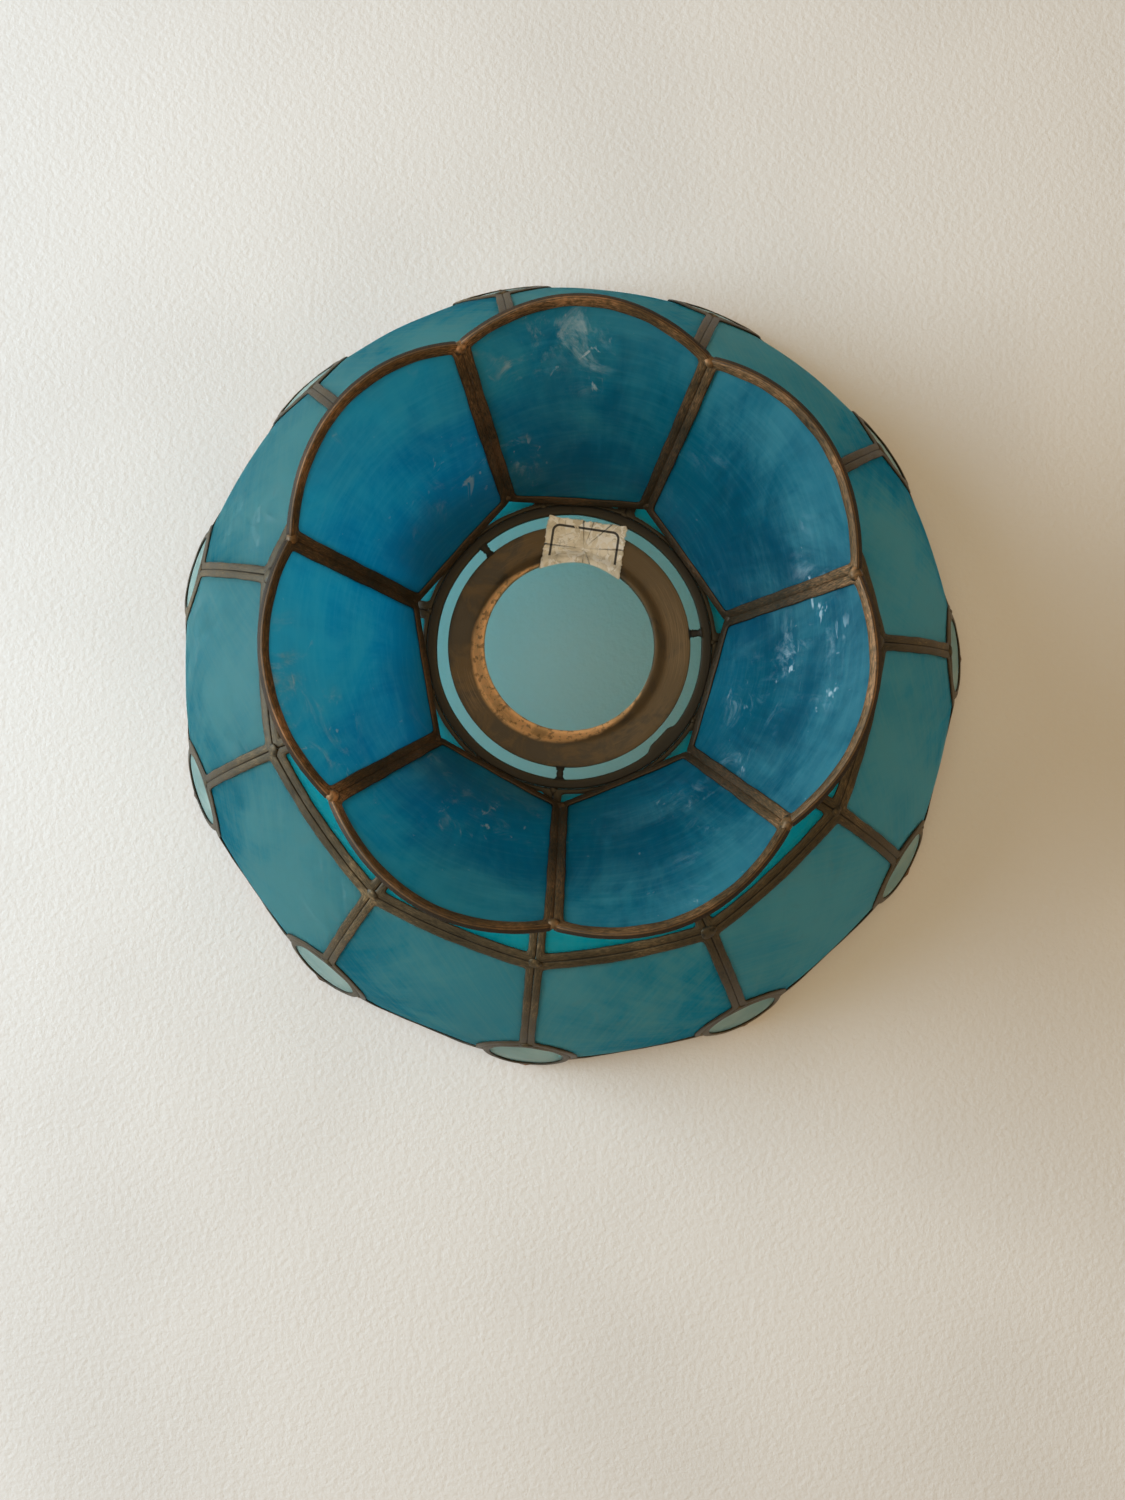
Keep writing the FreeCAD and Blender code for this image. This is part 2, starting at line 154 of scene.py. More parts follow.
class Finish:
    """A material, made node by node."""

    def __init__(self, name):
        self.material = bpy.data.materials.new(name)
        self.material.use_nodes = True
        self.tree = self.material.node_tree
        self.tree.nodes.clear()

    def node(self, kind, settings, sockets, output=0):
        """Adds a node, with its settings and then its sockets' values or links."""
        made = self.tree.nodes.new("ShaderNode" + kind)
        for name, value in settings.items():
            setattr(made, name, value)
        for name, value in sockets.items():
            if isinstance(value, Signal):
                self.tree.links.new(value.socket, made.inputs[name])
            else:
                made.inputs[name].default_value = value
        return Signal(self, made.outputs[output])

    def place(self):
        """Where the surface is, in metres."""
        return self.node("TexCoord", {}, {}, output=3)

    def split(self, vector):
        """A vector's first two parts."""
        first = self.node("SeparateXYZ", {}, {0: vector})
        return first, Signal(self, first.socket.node.outputs[1])

    def from_axis(self, place):
        """How far a place lies from the shade's axis."""
        x, y = self.split(place)
        return (x ** 2.0 + y ** 2.0) ** 0.5

    def noise(self, where, scale, detail=3.0, roughness=0.5, distortion=0.0):
        """Cloudy noise, mostly between 0.3 and 0.7."""
        values = {"Vector": where, "Scale": scale, "Detail": detail}
        values.update({"Roughness": roughness, "Distortion": distortion})
        return self.node("TexNoise", {}, values)

    def stretched(self, where, along, across, up=1.0):
        """A place stretched, for streaks."""
        return self.node("VectorMath", {"operation": "MULTIPLY"}, {0: where, 1: (along, across, up)})

    def between(self, value, low, high, out_low=0.0, out_high=1.0):
        """A value's smooth rise between two levels."""
        levels = {"Value": value, 1: low, 2: high, 3: out_low, 4: out_high}
        return self.node("MapRange", {"interpolation_type": "SMOOTHSTEP"}, levels)

    def blend(self, factor, first, second):
        """Two colours mixed by a factor."""
        return self.node("Mix", {"data_type": "RGBA"}, {0: factor, 6: first, 7: second}, output=2)

    def bump(self, height, depth, strength):
        """A normal tilted by a height."""
        return self.node("Bump", {}, {"Height": height, "Distance": depth, "Strength": strength})

    def surface(self, shader):
        """Ends the material in a shader."""
        output = self.tree.nodes.new("ShaderNodeOutputMaterial")
        self.tree.links.new(shader.socket, output.inputs["Surface"])
        return self.material


TABLE_REACH = 3.0
TABLE_PALE = (0.79, 0.775, 0.75, 1.0)
TABLE_SHADED = (0.74, 0.725, 0.70, 1.0)

finish = Finish("matt_table")
grain = finish.noise(finish.place(), 520.0, 3.0, 0.55)
clouds = finish.noise(finish.place(), 9.0, 2.0)
table_finish = finish.surface(finish.node("BsdfPrincipled", {}, {
    "Base Color": finish.blend(finish.between(clouds, 0.35, 0.65), TABLE_PALE, TABLE_SHADED),
    "Roughness": 0.7,
    "Normal": finish.bump(grain, 0.00045, 0.6),
}))

table_mesh = bpy.data.meshes.new("table")
table_corners = [(-1, -1), (1, -1), (1, 1), (-1, 1)]
table_corners = [(x * TABLE_REACH, y * TABLE_REACH, 0.0) for x, y in table_corners]
table_mesh.from_pydata(table_corners, [], [(0, 1, 2, 3)])
table_mesh.materials.append(table_finish)
table = bpy.data.objects.new("table", table_mesh)
bpy.context.scene.collection.objects.link(table)

# ---- Belly: eleven cupped panes -----------------------------------------------------
# Each pane is one valve of windowpane oyster, dyed and cut to an outline of four edges and
# two bites, and cupped by steam. It is little over half a millimetre thick and lets light
# through. Growth lines run round the shell's hinge, which lies beyond one side.
PANEL_COUNT = 11
PANEL_HALF = math.pi / PANEL_COUNT
FIRST_STRUT = -0.75 * PANEL_HALF
RIM_RADIUS = 0.1202
RIM_HEIGHT = 0.004
RIM_BOW = 0.0008
SEAM_RADIUS = 0.0806
SEAM_HEIGHT = 0.0566
SEAM_BOW = 0.0014
BELLY_RISE = 0.005585
BELLY_CROWNING = 0.0032
LOWER_START = 0.574
MEDALLION_RADIUS = 0.0128
SCALLOP_RADIUS = 0.0292
SCALLOP_SIDE = 0.82
SOLDER_GAP = 0.0001
CHANNEL_THICKNESS = 0.002
PANE_THICKNESS = 0.0006
CORNER_SOFTNESS = 0.00025
PANE_INSET = 0.0011
SEARCH_REACH = 1.7
SEARCH_STEPS = 240
RAY_COUNT = 1440

MIDDLE_RADIUS = 0.5 * (SEAM_RADIUS + RIM_RADIUS)
MIDDLE_HEIGHT = 0.5 * (SEAM_HEIGHT + 0.5 * RIM_HEIGHT)
HALF_CHORD = 0.5 * math.hypot(RIM_RADIUS - SEAM_RADIUS, SEAM_HEIGHT - 0.5 * RIM_HEIGHT)
BELLY_SLOPE = math.atan2(SEAM_HEIGHT - 0.5 * RIM_HEIGHT, RIM_RADIUS - SEAM_RADIUS)
BELLY_ARC = (HALF_CHORD ** 2 + BELLY_RISE ** 2) / (2.0 * BELLY_RISE)
ARC_RADIUS = MIDDLE_RADIUS - (BELLY_ARC - BELLY_RISE) * math.sin(BELLY_SLOPE)
ARC_HEIGHT = MIDDLE_HEIGHT - (BELLY_ARC - BELLY_RISE) * math.cos(BELLY_SLOPE)
BELLY_START = math.atan2(SEAM_HEIGHT - ARC_HEIGHT, SEAM_RADIUS - ARC_RADIUS)
BELLY_END = math.atan2(0.5 * RIM_HEIGHT - ARC_HEIGHT, RIM_RADIUS - ARC_RADIUS)


def strut_line(t):
    """Radius, height and outward direction of the belly's struts, t = 0 at the seam, 1 at the rim."""
    angle = BELLY_START + (BELLY_END - BELLY_START) * np.asarray(t, float)
    out = np.cos(angle)
    up = np.sin(angle)
    return ARC_RADIUS + BELLY_ARC * out, ARC_HEIGHT + BELLY_ARC * up, out, up


def belly_place(s, t):
    """The belly pane's middle surface, in the plane of +X, s = -1 and 1 at its struts."""
    r, z, out, up = strut_line(t)
    cup = (1.0 - s * s) * BELLY_CROWNING * np.maximum(0.0, 4.0 * t * (1.0 - t))
    bow = (1.0 - s * s) * (SEAM_BOW * (1.0 - t) + RIM_BOW * t)
    x = r * math.cos(PANEL_HALF) + cup * out + bow
    return np.stack([x, s * r * math.sin(PANEL_HALF), z + cup * up], axis=-1)


lower_r, lower_z = strut_line(LOWER_START)[:2]
LOWER_SLOPE = math.atan2(lower_z - 0.5 * RIM_HEIGHT, RIM_RADIUS - lower_r)
LOWER_NORMAL = np.array([math.sin(LOWER_SLOPE), 0.0, math.cos(LOWER_SLOPE)])
UP_SLOPE = np.array([-math.cos(LOWER_SLOPE), 0.0, math.sin(LOWER_SLOPE)])
RIM_SEAT = RIM_HEIGHT + SOLDER_GAP
TILT_DROP = 0.5 * CHANNEL_THICKNESS * math.cos(LOWER_SLOPE)
MEDALLION_HEIGHT = RIM_SEAT + TILT_DROP + MEDALLION_RADIUS * math.sin(LOWER_SLOPE)


def strut_at(height):
    """The strut's t and radius at a height."""
    angle = math.asin((height - ARC_HEIGHT) / BELLY_ARC)
    return (angle - BELLY_START) / (BELLY_END - BELLY_START), ARC_RADIUS + BELLY_ARC * math.cos(angle)


MEDALLION_T, MEDALLION_DISTANCE = strut_at(MEDALLION_HEIGHT)
SCALLOP_BOTTOM = belly_place(0.0, strut_at(RIM_SEAT)[0])
SEAM_SIDE = SEAM_RADIUS * math.sin(PANEL_HALF)
SEAM_ARC = (SEAM_SIDE ** 2 + SEAM_BOW ** 2) / (2.0 * SEAM_BOW)
SEAM_ARC_X = SEAM_RADIUS * math.cos(PANEL_HALF) + SEAM_BOW - SEAM_ARC


def spun(points, angle):
    """Points turned about the shade's axis, anticlockwise."""
    x = points[..., 0] * math.cos(angle) - points[..., 1] * math.sin(angle)
    y = points[..., 0] * math.sin(angle) + points[..., 1] * math.cos(angle)
    return np.stack([x, y, points[..., 2]], axis=-1)


def turned(points, bearing):
    """Points built along +X, turned to a bearing clockwise from +Y."""
    return spun(points, 0.5 * math.pi - bearing)


def soft_least(*rooms):
    """The least of several distances, rounded off where two are alike."""
    stack = np.stack(rooms)
    least = stack.min(axis=0)
    return least - CORNER_SOFTNESS * np.log(np.exp((least - stack) / CORNER_SOFTNESS).sum(axis=0))


def side_room(points, half):
    """How far points lie inside a panel's two sides."""
    return points[..., 0] * math.sin(half) - np.abs(points[..., 1]) * math.cos(half)


def from_medallion(points):
    """How far points lie from the axis of a medallion centred over +X."""
    away = points - np.array([MEDALLION_DISTANCE, 0.0, MEDALLION_HEIGHT])
    along = away @ LOWER_NORMAL
    return np.sqrt(np.maximum((away ** 2).sum(axis=-1) - along ** 2, 0.0))


def scallop_room(points):
    """How far points lie above the round lower edge of a belly pane."""
    rise = (points - SCALLOP_BOTTOM) @ UP_SLOPE
    inside = SCALLOP_RADIUS - np.hypot(points[..., 1], rise - SCALLOP_RADIUS)
    side_rise = SCALLOP_RADIUS * (1.0 - math.sqrt(1.0 - SCALLOP_SIDE ** 2))
    return np.maximum(inside, rise - side_rise)


def belly_room(points):
    """How far points lie inside the outline of a belly pane and its channel."""
    seam = np.hypot(points[..., 0] - SEAM_ARC_X, points[..., 1]) - SEAM_ARC
    folded = points * np.array([1.0, 0.0, 1.0]) + np.abs(points) * np.array([0.0, 1.0, 0.0])
    medallion = from_medallion(spun(folded, -PANEL_HALF)) - MEDALLION_RADIUS
    return soft_least(side_room(points, PANEL_HALF), seam, medallion, scallop_room(points))


def edge_line(place, room, middle, inset, rays):
    """The (s, t) places where a panel's room first falls to an inset, along rays from its middle."""
    ahead = np.stack([np.cos(rays), np.sin(rays)], axis=-1) * SEARCH_REACH
    share = np.linspace(0.0, 1.0, SEARCH_STEPS + 1)
    st = np.array(middle) + share[:, None, None] * ahead
    short = room(place(st[..., 0], st[..., 1])) < inset
    high = share[np.argmax(short, axis=0)]
    low = high - share[1]
    for _ in range(18):
        half = 0.5 * (low + high)
        st = np.array(middle) + half[:, None] * ahead
        inside = room(place(st[:, 0], st[:, 1])) > inset
        low = np.where(inside, half, low)
        high = np.where(inside, high, half)
    return np.array(middle) + high[:, None] * ahead


def even_rays(place, room, middle, inset, count):
    """Rays from a panel's middle that meet its outline at even distances."""
    rays = np.linspace(0.0, 2.0 * math.pi, RAY_COUNT, endpoint=False)
    st = edge_line(place, room, middle, inset, rays)
    line = place(st[:, 0], st[:, 1])
    steps = np.linalg.norm(np.roll(line, -1, axis=0) - line, axis=1)
    run = np.concatenate([[0.0], np.cumsum(steps)])
    wanted = np.linspace(0.0, run[-1], count, endpoint=False)
    return np.interp(wanted, run, np.append(rays, 2.0 * math.pi)), run[-1]


def normals(place, st):
    """The surface's normals, away from the side that its panel is cupped to."""
    small = 1e-4
    s, t = st[..., 0], st[..., 1]
    across = place(s + small, t) - place(s - small, t)
    down = place(s, t + small) - place(s, t - small)
    return unit(np.cross(down, across))


def grid_faces(rows, columns, close_rows=False, offset=0):
    """Quads over rows of points whose columns close on themselves."""
    faces = []
    for i in range(rows if close_rows else rows - 1):
        low = offset + i * columns
        high = offset + (i + 1) % rows * columns
        for j in range(columns):
            k = (j + 1) % columns
            faces.append((low + j, low + k, high + k, high + j))
    return faces


def gathered(parts):
    """Several meshes' points, faces and UV maps as one."""
    points, faces, uv, offset = [], [], [], 0
    for part_points, part_faces, part_uv in parts:
        points.append(part_points)
        faces += [tuple(corner + offset for corner in face) for face in part_faces]
        uv.append(part_uv)
        offset += len(part_points)
    return np.concatenate(points), faces, np.concatenate(uv)


def make_piece(name, parts, material):
    """A smooth mesh object of closed parts with one finish, its faces turned outwards."""
    points, faces, uv = gathered(parts)
    mesh = bpy.data.meshes.new(name)
    mesh.from_pydata(points.tolist(), [], faces)
    layer = mesh.uv_layers.new(name="sheet")
    corners = np.empty(len(mesh.loops), dtype=np.int32)
    mesh.loops.foreach_get("vertex_index", corners)
    layer.data.foreach_set("uv", uv.astype(np.float32)[corners].ravel())
    shape = bmesh.new()
    shape.from_mesh(mesh)
    bmesh.ops.recalc_face_normals(shape, faces=shape.faces)
    shape.to_mesh(mesh)
    shape.free()
    mesh.polygons.foreach_set("use_smooth", [True] * len(mesh.polygons))
    mesh.materials.append(material)
    piece = bpy.data.objects.new(name, mesh)
    bpy.context.scene.collection.objects.link(piece)
    return piece


def fasten(piece, slot, *nodes):
    """Fastens a piece to the shade's one body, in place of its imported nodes."""
    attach(piece, "root")
    if nodes:
        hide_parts(*nodes)


def ripple(points, chance, depth, lengths):
    """Slow random waves over points."""
    total = np.zeros(points.shape[:-1])
    for length in lengths:
        heading = unit(chance.normal(size=3)) * 2.0 * math.pi / length
        total += np.sin(points @ heading + chance.uniform(0.0, 2.0 * math.pi))
    return total * depth / math.sqrt(len(lengths))


PANE_RAYS = 112
PANE_RINGS = 20
PANE_WAVE = 0.00011
PANE_WAVE_LENGTHS = (0.021, 0.034, 0.055)
CENTIMETRE = 0.01


def thin_sheet(place, middle, edge, thickness, chance, wave):
    """A closed thin sheet from a middle out to an edge line: its points, faces and middle surface."""
    rays = len(edge)
    share = (np.arange(1, PANE_RINGS + 1) / PANE_RINGS)[:, None, None]
    st = np.array(middle) + share * (edge - np.array(middle))
    st = np.concatenate([np.array(middle, float)[None], st.reshape(-1, 2)])
    sheet = place(st[:, 0], st[:, 1])
    normal = normals(place, st)
    sheet = sheet + normal * ripple(sheet, chance, wave, PANE_WAVE_LENGTHS)[:, None]
    count = len(sheet)
    faces = []
    for offset in (0, count):
        faces += [(offset, offset + 1 + j, offset + 1 + (j + 1) % rays) for j in range(rays)]
        faces += grid_faces(PANE_RINGS, rays, offset=offset + 1)
    rim = count - rays
    for j in range(rays):
        k = (j + 1) % rays
        faces.append((rim + j, rim + k, count + rim + k, count + rim + j))
    points = np.concatenate([sheet + normal * 0.5 * thickness, sheet - normal * 0.5 * thickness])
    return points, faces, sheet, normal


def shell_pane(place, room, middle, bearing, chance, hinge):
    """One cut valve of shell. In its UV map u runs out from the hinge in centimetres, v round it."""
    rays, _ = even_rays(place, room, middle, PANE_INSET, PANE_RAYS)
    edge = edge_line(place, room, middle, PANE_INSET, rays)
    points, faces, sheet, normal = thin_sheet(place, middle, edge, PANE_THICKNESS, chance, PANE_WAVE)
    origin = place(*hinge)
    away = sheet - origin
    forward = unit(place(*middle) - origin)
    sideways = unit(np.cross(normal[0], forward))
    swing = np.arctan2(away @ sideways, away @ forward)
    uv = np.stack([np.linalg.norm(away, axis=1) / CENTIMETRE, swing], axis=-1)
    return turned(points, bearing), faces, np.concatenate([uv, uv])


SHELL_CHALK = (0.48, 0.62, 0.66, 1.0)
SHELL_GLOSS = 1.5
HAZE_COVER = 0.12
HAZE_SWIRL = 13.0
CHALK_COVER = 0.45
THICK_COVER = 0.35
THICK_REACH = (2.0, 4.6)


def shell_finish(name, front_colours, through_colours, through_share, chalk_share, cloud_scale, haze_reach):
    """Dyed oyster shell: cloudy dye, growth lines, haze away from the hinge, chalky rubs, satin gloss."""
    deep, body, pale = front_colours
    finish = Finish(name)
    place = finish.place()
    sheet = finish.node("UVMap", {"uv_map": "sheet"}, {})
    from_hinge, _ = finish.split(sheet)
    growth = finish.noise(finish.stretched(sheet, 1.0, 0.35), 9.0, 5.0, 0.62, 0.25)
    fine_growth = finish.noise(finish.stretched(sheet, 1.0, 0.25), 34.0, 2.0, 0.5)
    streak = finish.noise(finish.stretched(sheet, 0.18, 9.0), 3.2, 5.0, 0.6, 0.3)
    cloud = finish.noise(place, cloud_scale, 3.0, 0.55, 0.6)
    patch = finish.noise(place, cloud_scale * 3.1, 4.0, 0.6, 0.4)
    veil = finish.noise(place, cloud_scale * 1.9, 6.0, 0.66, 1.3)
    dye = cloud * 0.50 + patch * 0.28 + streak * 0.14 + growth * 0.04
    haze = finish.between(from_hinge + (veil - 0.5) * HAZE_SWIRL + (streak - 0.5) * 1.4, *haze_reach)
    haze = haze * 0.85 + finish.between(growth, 0.45, 0.65) * 0.15
    thick = 1.0 - finish.between(from_hinge + (cloud - 0.5) * 4.0, *THICK_REACH)
    wisp_run = finish.noise(place, 60.0, 7.0, 0.72, 2.2)
    wisp_spots = finish.noise(place, 26.0, 3.0, 0.5)
    wisps = finish.between(wisp_run, 0.50, 0.70) * finish.between(wisp_spots, 0.47, 0.64)
    scratch_run = finish.noise(finish.stretched(place, 1.0, 0.32, 0.6), 330.0, 3.0, 0.6, 0.8)
    scratches = finish.between(scratch_run, 0.62, 0.70) * finish.between(wisp_spots, 0.49, 0.58)
    specks = finish.between(finish.noise(place, 700.0, 1.0, 0.4), 0.77, 0.82)
    rub = (wisps * 0.8 + scratches * 0.8 + specks * 0.35) * chalk_share * (1.0 - thick)
    colour = finish.blend(finish.between(dye, 0.38, 0.54), deep, body)
    colour = finish.blend(haze, colour, pale)
    colour = finish.blend(rub, colour, SHELL_CHALK)
    relief = growth * 0.6 + fine_growth * 0.15 + streak * 0.5
    front = finish.node("BsdfPrincipled", {}, {
        "Base Color": colour,
        "Roughness": finish.between(patch, 0.35, 0.65, 0.38, 0.52) + rub * 0.3,
        "IOR": SHELL_GLOSS,
        "Normal": finish.bump(relief, 0.00028, 0.6),
    })
    thin = haze * 0.7 + finish.between(dye, 0.40, 0.60) * 0.36 + growth * 0.14 + rub * 0.5
    thin = thin - thick * 0.2 - 0.07
    dyed = finish.node("BsdfTranslucent", {}, {"Color": through_colours[0]})
    undyed = finish.node("BsdfTranslucent", {}, {"Color": through_colours[1]})
    behind = finish.node("MixShader", {}, {0: finish.between(thin, 0.0, 1.0), 1: dyed, 2: undyed})
    share = through_share - haze * HAZE_COVER - rub * CHALK_COVER - thick * THICK_COVER
    return finish.surface(finish.node("MixShader", {}, {0: share, 1: front, 2: behind}))


BELLY_DEEP = (0.0, 0.040, 0.060, 1.0)
BELLY_BODY = (0.0, 0.075, 0.110, 1.0)
BELLY_PALE = (0.08, 0.20, 0.22, 1.0)
BELLY_DYED = (0.12, 0.65, 0.77, 1.0)
BELLY_UNDYED = (0.69, 0.88, 0.88, 1.0)
BELLY_MIDDLE = (0.0, 0.42)
BELLY_HINGE_SIDE = 1.6
BELLY_HINGE_DOWN = (0.9, 1.5)

belly_finish = shell_finish(
    "teal_shell", (BELLY_DEEP, BELLY_BODY, BELLY_PALE), (BELLY_DYED, BELLY_UNDYED),
    through_share=0.94, chalk_share=0.25, cloud_scale=20.0, haze_reach=(2.0, 9.0),
)
panel_bearings = [FIRST_STRUT + 2.0 * PANEL_HALF * (k + 0.5) for k in range(PANEL_COUNT)]
strut_bearings = [FIRST_STRUT + 2.0 * PANEL_HALF * k for k in range(PANEL_COUNT)]

for k, bearing in enumerate(panel_bearings, 1):
    chance = np.random.default_rng(100 + k)
    hinge = (chance.choice([-BELLY_HINGE_SIDE, BELLY_HINGE_SIDE]), chance.uniform(*BELLY_HINGE_DOWN))
    valve = shell_pane(belly_place, belly_room, BELLY_MIDDLE, bearing, chance, hinge)
    pane = make_piece("belly_shell_%d" % k, [valve], belly_finish)
    fasten(pane, "dome_shell", "belly_pane_%d" % k)

# ---- Channels: folded strip round every pane ------------------------------------------
# A strip of thin bronze is folded into a U, bent round the pane's edge by hand and closed
# with solder. Its back and its lips are rubbed, and its ends never quite line up.
CHANNEL_WIDTH = 0.00215
CHANNEL_SECTION = (
    (0.00, 0.74), (0.06, 0.87), (0.20, 0.96), (0.42, 1.00), (0.68, 0.98), (0.90, 0.90), (0.98, 0.76),
    (1.00, 0.50), (0.92, 0.36), (0.36, 0.36), (0.36, -0.36), (0.92, -0.36), (1.00, -0.50), (0.98, -0.76),
    (0.90, -0.90), (0.68, -0.98), (0.42, -1.00), (0.20, -0.96), (0.06, -0.87), (0.00, -0.74),
)
CHANNEL_STEP = 0.0009
CHANNEL_SWAY = 0.00008
OUTER_SWAY = 0.000008
CHANNEL_WAVES = (0.009, 0.019, 0.037)
CHANNEL_HEAVE = 0.09
OUTER_INSET = 0.00001


def wander(run, length, chance, waves):
    """A closed random wave along a line, between about -1 and 1."""
    total = np.zeros(len(run))
    weight = 0.0
    for wave in waves:
        turns = max(1, round(length / wave))
        strength = chance.uniform(0.4, 1.0)
        total += strength * np.sin(2.0 * math.pi * turns * run + chance.uniform(0.0, 2.0 * math.pi))
        weight += strength ** 2
    return total / math.sqrt(weight)


def channel(place, room, middle, bearing, chance):
    """The points, faces and UV map of one channel: v runs round its section, u along it in centimetres."""
    rays, length = even_rays(place, room, middle, 0.5 * CHANNEL_WIDTH, 64)
    count = int(length / CHANNEL_STEP)
    rays, length = even_rays(place, room, middle, 0.5 * CHANNEL_WIDTH, count)
    outer = edge_line(place, room, middle, OUTER_INSET, rays)
    inner = edge_line(place, room, middle, CHANNEL_WIDTH, rays)
    normal = normals(place, 0.5 * (outer + inner))
    outer = place(outer[:, 0], outer[:, 1])
    inner = place(inner[:, 0], inner[:, 1])
    run = np.arange(count) / count
    inward = unit(inner - outer)
    sway = OUTER_SWAY * (1.0 + wander(run, length, chance, CHANNEL_WAVES))
    outer = outer + inward * sway[:, None]
    inner = inner + inward * (CHANNEL_SWAY * wander(run, length, chance, CHANNEL_WAVES))[:, None]
    heave = 1.0 - CHANNEL_HEAVE * (0.5 + 0.5 * wander(run, length, chance, CHANNEL_WAVES))
    points = []
    uv = []
    section = np.array(CHANNEL_SECTION)
    for j, (across, height) in enumerate(section):
        lift = height * 0.5 * CHANNEL_THICKNESS * heave
        points.append(outer + (inner - outer) * across + normal * lift[:, None])
        # v round the section also places the bronze's painted shade, on the outer fold and on the inner lips
        # and underside.
        uv.append(np.stack([run * length / CENTIMETRE, np.full(count, j / len(section))], axis=-1))
    points = turned(np.stack(points).reshape(-1, 3), bearing)
    return points, grid_faces(len(section), count, close_rows=True), np.concatenate(uv)


# Colour of the painted shade in the bronze strips' folds and along their lips.
PAINTED_SHADE_COLOUR = (0.014, 0.013, 0.010, 1.0)
BRONZE_DARK = (0.025, 0.023, 0.016, 1.0)
BRONZE_BODY = (0.092, 0.067, 0.034, 1.0)
BRONZE_BRIGHT = (0.34, 0.23, 0.115, 1.0)


def bronze_finish(name, colours, wear_reach, shine, smoke_reach):
    """Bronze under a brown patina: streaks along the strip, pits, rubbed backs and lamp smoke, with painted
    shade at the strip's outer fold and along its lips.
    """
    dark, body, bright = colours
    finish = Finish(name)
    place = finish.place()
    strip = finish.node("UVMap", {"uv_map": "sheet"}, {})
    streak = finish.noise(finish.stretched(strip, 3.2, 24.0), 2.0, 4.0, 0.6, 0.3)
    blotch = finish.noise(place, 85.0, 4.0, 0.6, 0.5)
    broad = finish.noise(place, 24.0, 2.0, 0.5)
    pit = finish.noise(place, 900.0, 3.0, 0.6)
    tone = streak * 0.6 + blotch * 0.25 + broad * 0.15
    colour = finish.blend(finish.between(tone, 0.34, 0.58), dark, body)
    wear = finish.between(streak * 0.4 + blotch * 0.3 + broad * 0.3, *wear_reach)
    wear = wear * finish.between(pit, 0.3, 0.5)
    colour = finish.blend(wear, colour, bright)
    smoke = 1.0 - finish.between(finish.from_axis(place), *smoke_reach)
    colour = finish.blend(smoke * 0.7, colour, dark)
    _, round_section = finish.split(strip)
    # Painted shade: the outer fold where neighbouring channels meet, and the inner lips and underside beside
    # the pane, are darkened where shade falls.
    painted_shade = finish.between(round_section, 0.25, 0.36) + (1.0 - finish.between(round_section, 0.0, 0.07))
    colour = finish.blend(painted_shade * 0.8, colour, PAINTED_SHADE_COLOUR)
    relief = streak * 0.35 + pit * 0.25 + blotch * 0.6
    return finish.surface(finish.node("BsdfPrincipled", {}, {
        "Base Color": colour,
        "Metallic": finish.between(wear, 0.0, 1.0, 0.35, shine),
        "Specular IOR Level": 0.25,
        "Roughness": finish.between(tone, 0.35, 0.65, 0.36, 0.58),
        "Normal": finish.bump(relief, 0.00035, 0.6),
    }))


dome_bronze = bronze_finish(
    "browned_bronze", (BRONZE_DARK, BRONZE_BODY, BRONZE_BRIGHT), wear_reach=(0.53, 0.68), shine=0.6,
    smoke_reach=(0.036, 0.046),
)

strips = []
for k, bearing in enumerate(panel_bearings):
    chance = np.random.default_rng(200 + k)
    strips.append(channel(belly_place, belly_room, BELLY_MIDDLE, bearing, chance))
belly_strips = make_piece("belly_strips", strips, dome_bronze)
fasten(belly_strips, "bronze", "belly_channels")

# ---- Shoulder: eleven flatter panes between the neck ring and the seam -----------------
# The same shell, cut straighter and left nearly flat. Each has its own channel, pinched thin
# where it is soldered to the neck ring. Its foot lies on the belly's channel.
NECK_RING_OUTER = 0.0354
SHOULDER_CROWNING = 0.0008
SHOULDER_INNER = NECK_RING_OUTER + 0.5 * SOLDER_GAP
SHOULDER_TOP = NECK_HEIGHT - 0.6 * CHANNEL_THICKNESS
SHOULDER_SLOPE = math.atan2(SHOULDER_TOP - SEAM_HEIGHT, SEAM_RADIUS - SHOULDER_INNER)
NECK_TRIM = 1.9
SHOULDER_MIDDLE = (0.0, 0.55)
SHOULDER_HINGE_SIDE = 0.6
SHOULDER_HINGE_UP = -0.4
SHOULDER_DEEP = (0.0, 0.110, 0.130, 1.0)
SHOULDER_BODY = (0.0, 0.200, 0.225, 1.0)
SHOULDER_PALE = (0.0, 0.280, 0.310, 1.0)
SHOULDER_DYED = (0.0, 0.88, 0.98, 1.0)
SHOULDER_UNDYED = (0.30, 0.95, 0.98, 1.0)


def shoulder_place(s, t):
    """The shoulder pane's middle surface, in the plane of +X, t = 0 at the neck, 1 at the seam."""
    r = SHOULDER_INNER + (SEAM_RADIUS - SHOULDER_INNER) * t
    z = SEAM_HEIGHT + (SEAM_RADIUS - r) * math.tan(SHOULDER_SLOPE)
    cup = (1.0 - s * s) * SHOULDER_CROWNING * np.maximum(0.0, 4.0 * t * (1.0 - t))
    bow = (1.0 - s * s) * SEAM_BOW * t
    x = r * math.cos(PANEL_HALF) + bow + cup * math.sin(SHOULDER_SLOPE)
    return np.stack([x, s * r * math.sin(PANEL_HALF), z + cup * math.cos(SHOULDER_SLOPE)], axis=-1)


def shoulder_room(points):
    """How far points lie inside the outline of a shoulder pane and its channel."""
    seam = SEAM_ARC - np.hypot(points[..., 0] - SEAM_ARC_X, points[..., 1])
    neck = (np.hypot(points[..., 0], points[..., 1]) - SHOULDER_INNER) * NECK_TRIM
    return soft_least(side_room(points, PANEL_HALF), seam, neck)


